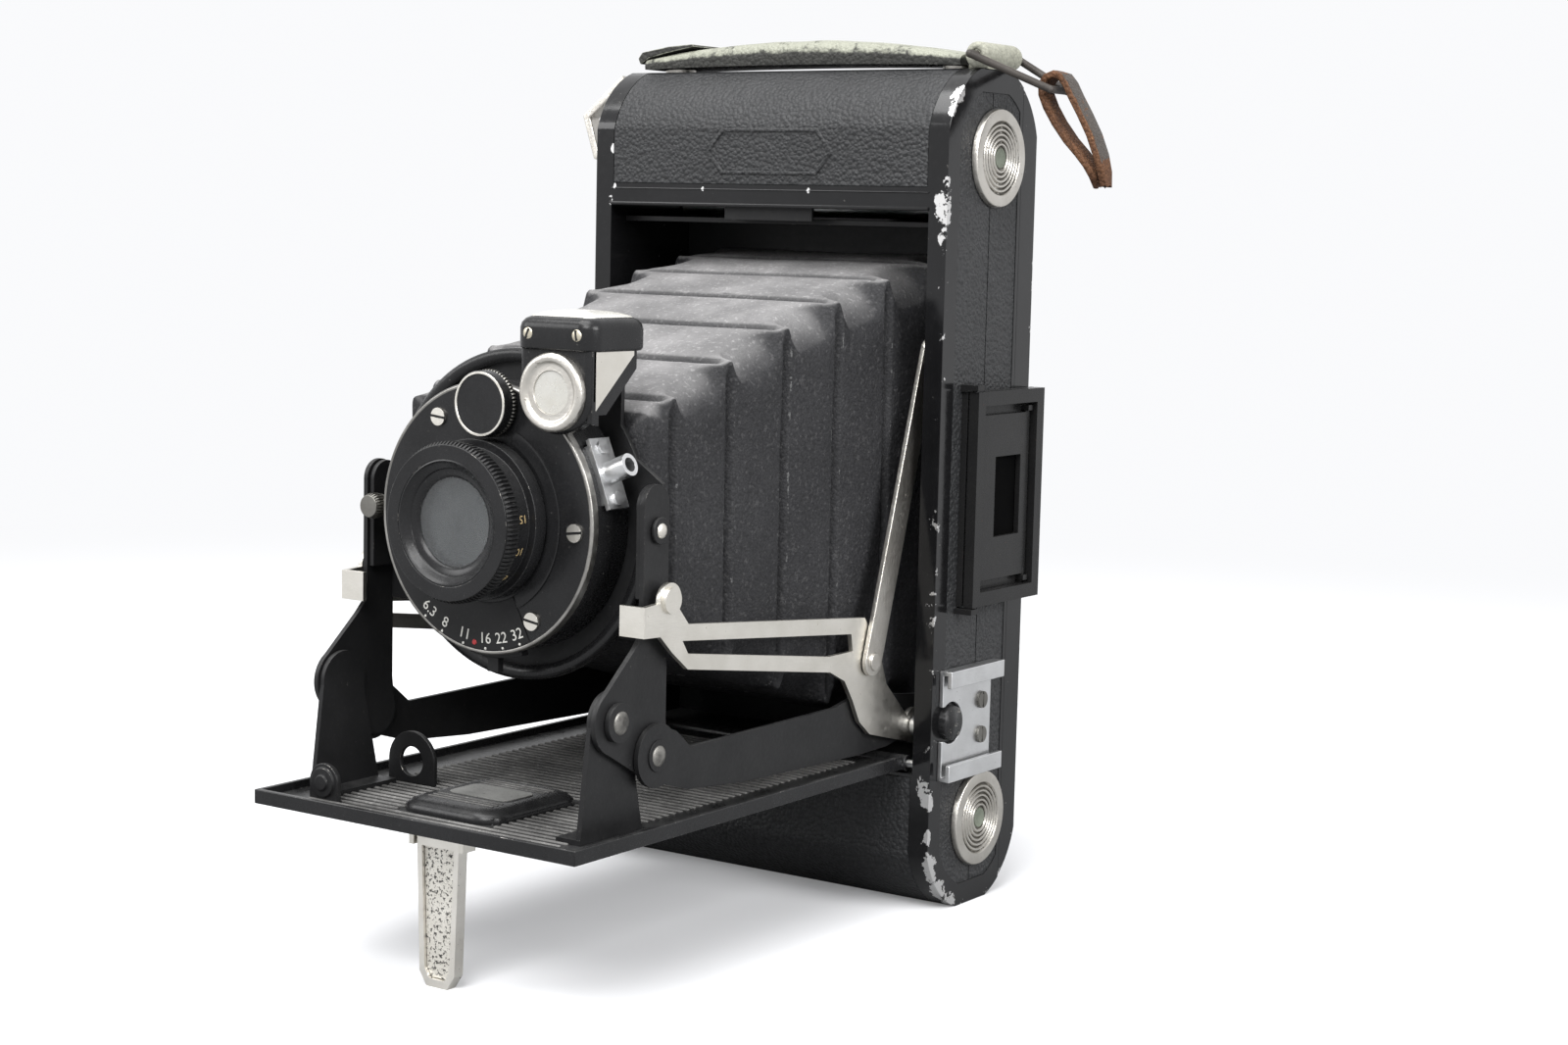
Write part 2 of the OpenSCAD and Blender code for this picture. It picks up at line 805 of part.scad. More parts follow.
module red_window() {
    color("#7a1512")
        difference() {
            union() {
                turned(0, red_z, 0.6 - body_d, 2.4 - body_d, red_r + 0.6);
                turned(0, red_z, 0.1 - body_d, 0.7 - body_d, red_r + 0.6);
            }
            turned(0, red_z, -body_d - 1, 0.6 - body_d, red_r - 1);
        }
}

// Cover that swings aside from the film-number window
module window_cover() {
    color("#1b1c1e")
        difference() {
            union() {
                turned(0, red_z, -body_d - 1.2, -body_d - 0.3, red_r + 1.4);
                slice(-body_d - 1.2, -body_d - 0.3)
                    translate([0, red_z - 2.2]) square([cover_x, 4.4]);
                turned(cover_x, red_z, -body_d - 1.2, -body_d - 0.3, 2.2);
            }
            turned(cover_x, red_z, -body_d - 0.9, -body_d, 1 + run);
        }
}

// Sliding catch on the back door
module back_latch() {
    color("#b9b6a8") {
        fblock(-6, 6, -body_d - 0.4, -body_d + leather + 0.05, latch_z - 2.5, latch_z + 2.5);
        for (x = [-4 : 2 : 4])
            fblock(x - 0.4, x + 0.4, -body_d - 0.9, -body_d - 0.3, latch_z - 2, latch_z + 2);
    }
}

// Drop bed: plate, raised rim, hinge barrel and the central pocket
module bed() {
    f0 = p_hinge[0] + 2;
    rim_t = 1;
    pocket = [[-9.5, 66], [9.5, 87]];
    color("#1a1b1d")
        difference() {
            union() {
                fblock(-bed_hw, bed_hw, p_hinge[0], bed_len, bed_under, bed_top);
                both()
                    fblock(bed_hw - rim_t, bed_hw, f0, bed_len, bed_under, bed_top + bed_rim);
                fblock(-bed_hw, bed_hw, bed_len - rim_t, bed_len, bed_under, bed_top + bed_rim);
                cross_bar(p_hinge, -bed_hw, bed_hw, hinge_pin_r + 0.7);
                fblock(pocket[0][0], pocket[1][0], pocket[0][1], pocket[1][1], bed_under, bed_top + 1.2);
                fblock(pocket[0][0] + 1.2, pocket[1][0] - 1.2, pocket[0][1] + 1.2, pocket[1][1] - 1.2,
                    bed_under, bed_top + 2);
            }
            cross_bar(p_hinge, -bed_hw - 1, bed_hw + 1, hinge_pin_r + run);
        }
}

module bed_leather() {
    color("#26272a")
        difference() {
            fblock(-bed_hw + 2, bed_hw - 2, 3, bed_len - 2, bed_under - leather, bed_under);
            fblock(-stand_w / 2 - 3, stand_w / 2 + 3, stand_f - 4, stand_f + 4, bed_under - 2, bed_under);
        }
}

// Upright brackets on the bed, each with its foot and the rivet of the leg
module brackets() {
    color("#1b1c1e")
        both() {
            plate(flange_x, plate_t) {
                translate(p_leg) circle(r = leg_lobe - 0.4);
                polygon([[p_leg[0] + 7.4, bed_top], [p_leg[0] - 8.8, bed_top], [p_leg[0] - 4.8, p_leg[1] - 1.5],
                    [p_leg[0] + 5, p_leg[1] - 0.5]]);
            }
            fblock(flange_x - 4, flange_x + plate_t, p_leg[0] - 8.8, p_leg[0] + 7.4, bed_top, bed_top + plate_t);
            cross_bar(p_leg, flange_x, leg_x + plate_t + plate_gap, rivet_r);
            cross_bar(p_leg, leg_x + plate_t + plate_gap, leg_x + plate_t + plate_gap + 0.9, rivet_head + 0.6);
        }
}

// Arched lug with a finger hole
module finger_lug() {
    c = [12.3 - bed_hw, bed_top + 3.9];
    color("#1b1c1e")
        slice(70.6, 71.5)
            difference() {
                union() {
                    translate(c) circle(r = 5.3);
                    translate([c[0] - 5.3, bed_top]) square([10.6, c[1] - bed_top]);
                }
                translate(c) circle(r = 2.6);
                translate([c[0] - 8, bed_top - 8]) square([16, 8]);
            }
}

// Round-topped catch at the front corner of the bed
module bed_catch() {
    c = [10.6 - bed_hw, bed_top + 3.2];
    color("#1b1c1e") {
        slice(90.4, 91.4) {
            translate(c) circle(r = 3.2);
            translate([c[0] - 3.2, bed_top]) square([6.4, c[1] - bed_top]);
        }
        for (r = [2.5, 1.3])
            turned(c[0], c[1], 91.4, 92.6 - r * 0.3, r);
    }
}

// Hanger under the bed with the pin of the stand
module stand_hanger() {
    lug_x = stand_w / 2 + gap;
    color("#c9c5b8") {
        difference() {
            union() {
                fblock(-lug_x - 1, lug_x + 1, stand_f - 3, stand_f + 3, bed_under - 0.5, bed_under);
                both()
                    fblock(lug_x, lug_x + 1, stand_f - 1.6, stand_f + 1.6, stand_z - 1.4, bed_under);
            }
            cross_bar([stand_f, stand_z], -lug_x - 2, lug_x + 2, 0.7);
        }
        cross_bar([stand_f, stand_z], -lug_x - 1, lug_x + 1, 0.7);
    }
}

// Folding stand: a tapered channel with a raised rim
module kickstand() {
    foot_w = stand_w - 1.6;
    top_z = stand_z + 1;
    color("#cbc7b8")
        difference() {
            union() {
                slice(stand_f - stand_t / 2, stand_f + stand_t / 2)
                    polygon([[-stand_w / 2, top_z], [stand_w / 2, top_z], [foot_w / 2, 2.4], [foot_w / 2 - 1.6, 0],
                        [1.6 - foot_w / 2, 0], [-foot_w / 2, 2.4]]);
            }
            slice(stand_f + 0.2, stand_f + stand_t)
                polygon([[1.1 - stand_w / 2, top_z - 2.4], [stand_w / 2 - 1.1, top_z - 2.4], [foot_w / 2 - 1.1, 3],
                    [foot_w / 2 - 2.2, 1.4], [2.2 - foot_w / 2, 1.4], [1.1 - foot_w / 2, 3]]);
            cross_bar([stand_f, stand_z], -stand_w, stand_w, 0.7 + run);
        }
}

// Legs between the bed brackets and the lens board, with the rivets of the arms
module legs() {
    leg_front = p_board[0] + 3.7;
    leg_rear = p_board[0] - 2.9;
    top_r = (leg_front - leg_rear) / 2;
    color("#1b1c1e")
        both() {
            difference() {
                plate(leg_x, plate_t) {
                    translate(p_leg) circle(r = leg_lobe);
                    translate(p_arm) circle(r = arm_lobe);
                    translate([leg_rear + top_r, p_board[1] + 4.2]) circle(r = top_r);
                    polygon([[leg_rear, p_board[1] + 4.2], [leg_front, p_board[1] + 4.2],
                        [leg_front, p_leg[1] + 13.2], p_leg + [-4.4, 10.9], p_leg + [4.1, 3.5], p_leg + [3.1, -4.4],
                        p_arm + [2.4, -3.4], p_arm + [-4.1, 0.4], [leg_rear, p_arm[1] + 5.5]]);
                }
                cross_bar(p_leg, leg_x - 1, leg_x + plate_t + 1, rivet_r + run);
                cross_bar(p_board, leg_x - 1, leg_x + plate_t + 1, rivet_r + run);
            }
            cross_bar(p_arm, leg_x, arm_x + plate_t + 0.1, rivet_r);
            cross_bar(p_arm, arm_x + plate_t + 0.05, arm_x + plate_t + 0.25, rivet_head);
        }
}

// Braces from the legs back to the body
module arms() {
    color("#1b1c1e")
        both()
            difference() {
                plate(arm_x, plate_t) {
                    translate(p_arm) circle(r = 5.3);
                    translate(p_arm_rear) circle(r = 3.2);
                    polygon([p_arm + [0, 5.3], p_arm + [-5, 3.4], p_arm + [-9, 0.2], [20, 41], [12, 42.5],
                        p_arm_rear + [0, 3.2], p_arm_rear + [0, -3.2], [2, 31.4], [12, 31.2], [p_arm[0] - 25, 32.2],
                        p_arm + [-8.4, -6.9], p_arm + [-2, -5]]);
                }
                cross_bar(p_arm, arm_x - 1, arm_x + plate_t + 1, rivet_r + run);
                cross_bar(p_arm_rear, arm_x - 1, arm_x + plate_t + 1, rivet_r + run);
            }
}

// Slotted nickel struts with finger tabs and their lock studs
module struts() {
    tab_f = [p_stud[0] + 6.2, p_stud[0] + 7];
    tab_z = [p_stud[1] - 5.5, p_stud[1] - 0.5];
    color("#cfcabb")
        both() {
            difference() {
                plate(strut_x, plate_t)
                    difference() {
                        union() {
                            translate(p_stud) circle(r = 2.9);
                            translate(p_link_low) circle(r = 3.8);
                            translate(p_strut) circle(r = 3.3);
                            polygon([[tab_f[1], tab_z[1]], [p_stud[0] + 3, tab_z[1] + 0.3], p_stud + [-2.4, -1.6],
                                [66, 61.6], [12.5, 56.7], p_link_low + [-3.4, 1.8], p_link_low + [-6.2, -5],
                                p_strut + [3.4, 3], p_strut, p_strut + [1.2, -3], [9.8, 35], [13.4, 37.8],
                                [15.8, 42], [18.6, 45.9], [23.4, 48.1], [66, 54.1], [70.4, 57.4],
                                [73.6, tab_z[0] - 0.2], [tab_f[1], tab_z[0]]]);
                        }
                        polygon([[67.6, 59], [16.8, 54.2], [16.2, 51], [24, 51], [66, 56.7]]);
                    }
                cross_bar(p_strut, strut_x - 1, strut_x + 2, rivet_r);
            }
            fblock(flange_x - 0.6, strut_x + plate_t, tab_f[0], tab_f[1], tab_z[0], tab_z[1]);
            cross_bar(p_stud, strut_x + plate_t - 0.1, strut_x + plate_t + 0.6, 2.2);
        }
}

// Links from the struts up to the body walls, riveted to the struts
module links() {
    side = [0.957, 0.289];
    color("#cfcabb")
        both() {
            difference() {
                plate(link_x, plate_t) {
                    translate(p_link_low) circle(r = 2.7);
                    translate(p_link_high) circle(r = 2.5);
                    polygon([p_link_low + 2.7 * side, p_link_high + 2.5 * side, p_link_high - 2.5 * side,
                        p_link_low - 2.7 * side]);
                }
                cross_bar(p_link_high, link_x - 1, link_x + 2, rivet_r);
            }
            cross_bar(p_link_low, link_x + plate_t - 0.1, link_x + plate_t + 0.5, 1.6);
        }
}

// Lens board with side flanges, leg rivets and the bracket of the reflecting finder
module lens_board() {
    wing = flange_x + plate_t;
    color("#1b1c1e") {
        difference() {
            union() {
                slice(board_f, board_f + plate_t) {
                    translate([0, lens_z]) circle(r = board_r);
                    translate([-wing, lens_z - 17]) square([2 * wing, 24.3]);
                    polygon([[-wing, lens_z + 7.3], [wing, lens_z + 7.3], [20, lens_z + 13.5], [-20, lens_z + 13.5]]);
                    translate([swivel[0] - 2.2, lens_z + 10]) square([4.4, swivel[1] - lens_z - 10]);
                    translate(swivel) circle(r = 2.2);
                }
                both()
                    plate(flange_x, plate_t) {
                        translate([standard_f, lens_z + 4]) circle(r = 3.3);
                        translate([board_f, lens_z - 11]) square([6.6, 15]);
                    }
            }
            turned(0, lens_z, board_f - 1, board_f + 2, 13 + run);
        }
        both() {
            cross_bar(p_board, flange_x, leg_x + plate_t + plate_gap, rivet_r);
            cross_bar(p_board, leg_x + plate_t + plate_gap, leg_x + plate_t + plate_gap + 0.6, rivet_head - 0.4);
        }
        turned(swivel[0], swivel[1], board_f + plate_t, board_f + plate_t + 6, rivet_r);
    }
}

// Shutter case: a cup with a tube that passes through the lens board
module shutter_case() {
    color("#1a1a1c")
        difference() {
            union() {
                turned(0, lens_z, case_f, face_f, case_r);
                turned(0, lens_z, board_f - 0.4, case_f, 13);
            }
            turned(0, lens_z, case_f + 1, face_f + 1, case_r - 1.2);
            turned(0, lens_z, board_f - 1, face_f + 1, barrel_r + 0.4 + run);
        }
}

// Face plate with the fixed lens barrel
module shutter_face() {
    color("#202022")
        difference() {
            union() {
                turned(0, lens_z, face_f, face_front, case_r);
                turned(0, lens_z, face_f, ring_front - 5, barrel_r);
                turned(dial[0], dial[1], face_f, face_front + 1.9, rivet_r);
            }
            turned(0, lens_z, face_f - 1, ring_front, glass_r - 1);
        }
}

module face_screws() {
    color("#b8b4a6")
        for (a = [122, -2.4, -57])
            translate([19.2 * cos(a), 0, lens_z + 19.2 * sin(a)])
                difference() {
                    turned(0, 0, face_front, face_front + 0.5, 1.5);
                    rotate([0, a * 3, 0])
                        fblock(-2, 2, face_front + 0.25, face_front + 1, -0.22, 0.22);
                }
}

// Socket for a cable release, on its plate at the right of the case
module cable_socket() {
    a = 22;
    f = case_f + case_d / 2;
    color("#c4c7c8")
        translate([0, front - f, lens_z])
            rotate([0, -a, 0])
                difference() {
                    union() {
                        block([case_r + 0.1, -2.6, -6], [case_r + 0.9, 2.6, 6]);
                        block([case_r - 0.6, -2.6, -5], [case_r + 0.2, 2.6, 5]);
                        rotate([0, 90, 0]) cylinder(h = case_r + 5.4, r = 1.9);
                        for (z = [-4.4, 4.4])
                            translate([0, 0, z]) rotate([0, 90, 0]) cylinder(h = case_r + 1.4, r = 1.2);
                    }
                    translate([-case_r, 0, 0]) rotate([0, 90, 0]) cylinder(h = 3 * case_r, r = 1.2);
                    rotate([90, 0, 0]) cylinder(h = 12, r = case_r, center = true);
                }
}

// Threaded ring behind the board that carries the rear lens
module rear_cell() {
    color("#26262a")
        difference() {
            union() {
                turned(0, lens_z, board_f - 0.9, board_f - 0.4, 14.4);
                turned(0, lens_z, board_f - 0.9, case_f + 3, barrel_r);
            }
            turned(0, lens_z, board_f - 2, case_f + 4, 8.6 + run);
        }
}

module rear_lens() {
    color("#9fb4bd")
        turned(0, lens_z, board_f - 0.5, case_f + 1.6, 8.6);
}

// Iris leaves in the case
module iris_blades() {
    color("#4a4a4c")
        for (i = [0 : 4])
            translate([0, -0.16 * i, lens_z])
                rotate([0, i * 72, 0])
                    slice(face_f - 2.4, face_f - 2.3)
                        difference() {
                            circle(r = case_r - 2.2);
                            translate([4.5, 0]) circle(r = 11.6);
                            translate([-30, -30]) square([60, 30]);
                        }
}

// Knurled focus ring that turns on the barrel
module focus_ring() {
    color("#1a1a1c")
        difference() {
            union() {
                turned(0, lens_z, face_front + gap, face_front + 3, ring_r + 0.6);
                turned(0, lens_z, face_front + gap, ring_front - 3.4, 12);
                turned(0, lens_z, ring_front - 3.6, ring_front, ring_r);
            }
            turned(0, lens_z, face_front - 1, ring_front - 4.4, barrel_r + run);
            turned(0, lens_z, ring_front - 5, ring_front - 1.6, glass_r + run);
            turned(0, lens_z, ring_front - 2, ring_front + 1, glass_r + 1.4);
        }
}

module front_lens() {
    color("#a9bcc4")
        turned(0, lens_z, ring_front - 4.3, ring_front - 2.2, glass_r);
}

// Speed dial on its stud above the lens
module speed_dial() {
    color("#1d1d1f")
        difference() {
            union() {
                turned(dial[0], dial[1], face_front + gap, face_front + 2.4, dial_r);
                turned(dial[0], dial[1], face_front + 2.3, face_front + 2.9, dial_r - 0.7);
            }
            turned(dial[0], dial[1], face_front + 2.6, face_front + 4, dial_r - 1.6);
            turned(dial[0], dial[1], face_front, face_front + 2.1, rivet_r + run);
        }
}

// A short slider that hugs the case, between two angles from +X
module case_slider(f0, f1, a0, a1, r) {
    slice(f0, f1)
        translate([0, lens_z])
            intersection() {
                difference() {
                    circle(r = r);
                    circle(r = case_r + run);
                }
                polygon([[0, 0], 40 * [cos(a0), sin(a0)], 44 * [cos((a0 + a1) / 2), sin((a0 + a1) / 2)],
                    40 * [cos(a1), sin(a1)]]);
            }
}

module aperture_lever() {
    color("#2a2a2c") {
        case_slider(face_f - 3, face_f - 1.2, -106, -74, case_r + 0.9);
        fblock(-1.2, 1.2, face_f - 2.8, face_f - 1.4, lens_z - case_r - 3.4, lens_z - case_r - 0.6);
    }
}

module release_lever() {
    knob_x = case_r + 3.2;
    color("#b8b4a6") {
        case_slider(face_f - 2.2, face_f - 0.6, 164, 196, case_r + 0.9);
        fblock(-knob_x, -case_r - 0.6, face_f - 2, face_f - 0.8, lens_z - 1.2, lens_z + 1.2);
        turned(-knob_x, lens_z, face_f - 2, face_f + 1.4, 1.9);
    }
}

// Housing of the reflecting finder: a wedge under a flat cap
module reflex_finder() {
    x0 = reflex_x - reflex_w / 2;
    rear_f = board_f - 1.4;
    color("#1c1c1e")
        difference() {
            union() {
                plate(x0, reflex_w)
                    polygon([[reflex_front, reflex_cap], [reflex_front, reflex_low], [face_front + 0.4, reflex_low],
                        [face_front + 0.4, reflex_low + 4], [board_f + plate_t + 1, reflex_cap - 1],
                        [board_f + plate_t + 1, reflex_cap]]);
                fblock(x0, x0 + reflex_w, rear_f, reflex_front, reflex_cap, reflex_high);
                turned(reflex_x, reflex_ring_z, reflex_front, reflex_front + 1.2, reflex_ring_r);
            }
            turned(swivel[0], swivel[1], board_f, board_f + plate_t + 6.4, rivet_r + run);
            turned(reflex_x, reflex_ring_z, reflex_front - 1.4, reflex_front + 2, reflex_ring_r - 1.6);
            fblock(x0 + 1.4, x0 + reflex_w - 1.4, rear_f + 1.4, reflex_front - 1.4, reflex_high - 1, reflex_high + 1);
        }
}

// Front lens and top glass of the reflecting finder
module reflex_glass() {
    x0 = reflex_x - reflex_w / 2;
    color("#c9d0d0") {
        turned(reflex_x, reflex_ring_z, reflex_front - 1.4, reflex_front + 0.7, reflex_ring_r - 1.65);
        fblock(x0 + 1.5, x0 + reflex_w - 1.5, board_f + 0.1, reflex_front - 1.5, reflex_high - 1, reflex_high - 0.2);
    }
}

body_casing();
end_leather();
side_leather();
film_gate();
roller_top();
roller_bottom();
spool_caps();
supply_pins();
takeup_spool();
winding_key();
tripod_bush();
accessory_shoe();
shoe_screws();
bed_button();
finder_base();
finder_frame();
finder_eyepiece();
bed_hinge_pin();
back_hinge_pin();
bed_latch();
wall_pivots();
bellows();
handle_strap();
strap_posts();
strap_barrel();
wire_loop();
leather_thong();
back_door();
back_leather();
pressure_plate();
pressure_springs();
red_window();
window_cover();
back_latch();
bed();
bed_leather();
brackets();
finger_lug();
bed_catch();
stand_hanger();
kickstand();
legs();
arms();
struts();
links();
lens_board();
shutter_case();
shutter_face();
face_screws();
cable_socket();
rear_cell();
rear_lens();
iris_blades();
focus_ring();
front_lens();
speed_dial();
aperture_lever();
release_lever();
reflex_finder();
reflex_glass();
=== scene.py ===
"""Looks of an open folding roll-film camera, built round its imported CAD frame.

Metres, in the CAD frame: X across the camera, Z up, the lens looks along -Y.
Forward distances f are measured in millimetres from the front of the body.
"""

import json
import logging
import math
import random
from dataclasses import dataclass, field, replace
from enum import Enum
from typing import Callable, Sequence

import bmesh
import bpy
from mathutils import Matrix, Vector, noise

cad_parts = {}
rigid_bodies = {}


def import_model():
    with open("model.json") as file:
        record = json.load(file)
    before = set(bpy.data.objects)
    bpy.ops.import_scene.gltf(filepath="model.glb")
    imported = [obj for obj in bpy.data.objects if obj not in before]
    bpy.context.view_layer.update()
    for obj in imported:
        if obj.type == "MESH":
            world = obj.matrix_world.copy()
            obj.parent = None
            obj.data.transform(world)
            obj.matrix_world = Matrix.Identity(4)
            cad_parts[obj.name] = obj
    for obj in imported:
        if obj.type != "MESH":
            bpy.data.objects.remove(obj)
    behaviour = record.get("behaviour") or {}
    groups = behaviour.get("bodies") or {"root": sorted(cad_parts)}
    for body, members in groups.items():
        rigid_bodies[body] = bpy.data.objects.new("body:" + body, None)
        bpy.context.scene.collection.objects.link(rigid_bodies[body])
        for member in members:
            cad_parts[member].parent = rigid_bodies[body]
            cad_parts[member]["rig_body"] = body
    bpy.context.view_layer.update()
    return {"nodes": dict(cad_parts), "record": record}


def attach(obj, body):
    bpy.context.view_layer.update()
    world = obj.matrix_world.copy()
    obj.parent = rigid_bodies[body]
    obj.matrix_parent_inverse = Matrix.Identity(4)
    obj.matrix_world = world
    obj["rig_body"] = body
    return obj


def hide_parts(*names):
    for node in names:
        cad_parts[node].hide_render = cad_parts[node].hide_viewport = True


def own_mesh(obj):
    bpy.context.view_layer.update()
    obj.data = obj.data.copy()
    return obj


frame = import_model()

log = logging.getLogger("camera")

MM = 0.001
CORNER_STEPS = 6
SLOT_HIGH = 0.12
POLE = 0.02
HALF_ROOT = 0.7071
BODY_FRONT = -16.3
LENS_Z = 77.2
CASE_HALF = 40.0
CASE_HIGH = 155.6
CASE_END_R = 16.9
CASE_END_C = 15.98
FORWARD = Vector((0.0, -1.0, 0.0))
UP = Vector((0.0, 0.0, 1.0))
Colour = tuple[float, float, float]
Profile = tuple[tuple[float, float], ...]
Spots = list[tuple[Vector, Vector]]
Piece = bpy.types.Object
Socket = bpy.types.NodeSocket
Ins = bpy.types.NodeOutputs
Outs = dict[str, Socket]
Fill = Callable[["Sketch", Ins], Outs]
TreeMaker = Callable[[], bpy.types.NodeTree]


def at(x: float, f: float, z: float) -> Vector:
    """Point in metres from x, forward distance and height in millimetres."""
    return Vector((x, BODY_FRONT - f, z)) * MM


# ---------------------------------------------------------------- node trees

class Sketch:
    """Short calls that add nodes and links to one node tree."""

    def __init__(self, tree: bpy.types.NodeTree) -> None:
        """Keep the tree that the calls work on."""
        self.tree = tree

    def add(self, kind: str, ins: dict | None = None, **props: object) -> bpy.types.Node:
        """Add a node.

        Args:
            kind: Blender's identifier of the node.
            ins: Values or sockets for inputs, by name or index.
            **props: Properties of the node itself.

        Returns:
            The new node.
        """
        node = self.tree.nodes.new(kind)
        for key, value in props.items():
            setattr(node, key, value)
        for key, value in (ins or {}).items():
            self.put(node.inputs[key], value)
        return node

    def put(self, socket: Socket, value: object) -> None:
        """Link a socket to an input, or set its value.

        Args:
            socket: The input.
            value: A socket or a plain value.
        """
        if isinstance(value, Socket):
            self.tree.links.new(value, socket)
        else:
            socket.default_value = value

    def math(self, operation: str, a: object, b: object = 0.0, clamp: bool = False) -> Socket:
        """Result of a Math node.

        Args:
            operation: Blender's name of the operation.
            a: First number or socket.
            b: Second number or socket.
            clamp: Whether the result stays between 0 and 1.

        Returns:
            The result's socket.
        """
        node = self.add("ShaderNodeMath", {0: a, 1: b}, operation=operation, use_clamp=clamp)
        return node.outputs[0]

    def mix(self, share: object, a: object, b: object) -> Socket:
        """Colour between two colours.

        Args:
            share: Share of the second colour.
            a: First colour or socket.
            b: Second colour or socket.

        Returns:
            The colour's socket.
        """
        ends = [(*v, 1.0) if isinstance(v, tuple) and len(v) == 3 else v for v in (a, b)]
        node = self.add("ShaderNodeMix", {0: share, 6: ends[0], 7: ends[1]}, data_type="RGBA")
        return node.outputs[2]

    def blend(self, share: object, a: object, b: object) -> Socket:
        """Number between a and b."""
        node = self.add("ShaderNodeMix", {0: share, 2: a, 3: b}, data_type="FLOAT")
        return node.outputs[0]

    def ease(self, value: object, low: object, high: object) -> Socket:
        """Smooth step from 0 at low to 1 at high."""
        node = self.add("ShaderNodeMapRange", {0: value, 1: low, 2: high}, interpolation_type="SMOOTHSTEP")
        return node.outputs[0]

    def noise(self, coords: object, scale: object, detail: float = 4.0, rough: float = 0.55) -> Socket:
        """Value of a noise texture."""
        ins = {"Vector": coords, "Scale": scale, "Detail": detail, "Roughness": rough}
        return self.add("ShaderNodeTexNoise", ins).outputs[0]

    def group(self, tree: bpy.types.NodeTree, **ins: object) -> bpy.types.Node:
        """Place a shader group with its own values.

        Args:
            tree: The group's tree.
            **ins: Values or sockets for its inputs.

        Returns:
            The group's node.
        """
        node = self.add("ShaderNodeGroup", node_tree=tree)
        for key, value in ins.items():
            self.put(node.inputs[key], value)
        return node


def bare_tree(owner: bpy.types.Material | bpy.types.World) -> Sketch:
    """Sketch of an owner's node tree, emptied first.

    Args:
        owner: Material or world that takes nodes.

    Returns:
        The sketch.
    """
    owner.use_nodes = True
    owner.node_tree.nodes.clear()
    return Sketch(owner.node_tree)


def shader_group(*outputs: str, **inputs: float) -> Callable[[Fill], TreeMaker]:
    """Turn a function that fills a shader group into one that hands the group out.

    Args:
        *outputs: Names of the group's number outputs.
        **inputs: Names and default values of its number inputs.

    Returns:
        The decorator.
    """
    def wrap(fill: Fill) -> TreeMaker:
        """Decorate the filling function.

        Args:
            fill: Builds the inside and returns the output sockets by name.

        Returns:
            A function that hands out the group's tree.
        """
        def hand_out() -> bpy.types.NodeTree:
            """The group's tree, made once.

            Returns:
                The tree.
            """
            tree = bpy.data.node_groups.get(fill.__name__)
            if tree:
                return tree
            tree = bpy.data.node_groups.new(fill.__name__, "ShaderNodeTree")
            for key, value in inputs.items():
                socket = tree.interface.new_socket(key, in_out="INPUT", socket_type="NodeSocketFloat")
                socket.default_value = value
            for key in outputs:
                tree.interface.new_socket(key, in_out="OUTPUT", socket_type="NodeSocketFloat")
            sketch = Sketch(tree)
            source = sketch.add("NodeGroupInput").outputs
            sketch.add("NodeGroupOutput", fill(sketch, source))
            return tree
        return hand_out
    return wrap


def object_coords(sketch: Sketch) -> Socket:
    """The piece's own coordinates."""
    return sketch.add("ShaderNodeTexCoord").outputs["Object"]


@shader_group("Mask", Near=0.0, Amount=0.5, Scale=200.0, Softness=0.15)
def edge_wear(s: Sketch, ins: Ins) -> Outs:
    """Chips that break out where an edge mask is high.

    Args:
        s: Sketch of the group's tree.
        ins: The group's inputs.

    Returns:
        The outputs by name.
    """
    place = object_coords(s)
    coarse = s.noise(place, ins["Scale"], 5.0, 0.6)
    fine = s.noise(place, s.math("MULTIPLY", ins["Scale"], 5.0), 3.0, 0.6)
    both = s.math("ADD", s.math("MULTIPLY", coarse, 0.7), s.math("MULTIPLY", fine, 0.3))
    spread = s.math("MULTIPLY", s.math("SUBTRACT", both, 0.5), 4.0)
    level = s.math("MULTIPLY", ins["Near"], s.math("ADD", ins["Amount"], spread))
    return {"Mask": s.ease(level, 0.5, s.math("ADD", 0.5, ins["Softness"]))}


@shader_group("Height", "Crease", "Slow", Scale=1400.0, Swell=4.0)
def pebble_grain(s: Sketch, ins: Ins) -> Outs:
    """Leather pebbles with slow swells under them, and a crease mask for the painted shade between the
    pebbles.

    Args:
        s: Sketch of the group's tree.
        ins: The group's inputs.

    Returns:
        The outputs by name.
    """
    place = object_coords(s)
    stir = s.add("ShaderNodeTexNoise", {"Vector": place, "Scale": s.math("MULTIPLY", ins["Scale"], 0.4)})
    moved = s.add("ShaderNodeVectorMath", {0: stir.outputs[1], 3: 0.0003}, operation="SCALE")
    spot = s.add("ShaderNodeVectorMath", {0: place, 1: moved.outputs[0]}, operation="ADD").outputs[0]
    cells = s.add("ShaderNodeTexVoronoi", {"Vector": spot, "Scale": ins["Scale"]}, feature="F1")
    dome = s.math("SUBTRACT", 1.0, cells.outputs["Distance"])
    crease = s.ease(cells.outputs["Distance"], 0.45, 0.8)
    fine = s.noise(place, s.math("MULTIPLY", ins["Scale"], 3.0), 2.0)
    slow = s.noise(place, s.math("MULTIPLY", ins["Scale"], 0.05), 3.0)
    swell = s.math("MULTIPLY", slow, ins["Swell"])
    pebble = s.math("ADD", s.math("MULTIPLY", dome, 0.8), s.math("MULTIPLY", fine, 0.35))
    return {"Height": s.math("ADD", pebble, swell), "Crease": crease, "Slow": slow}


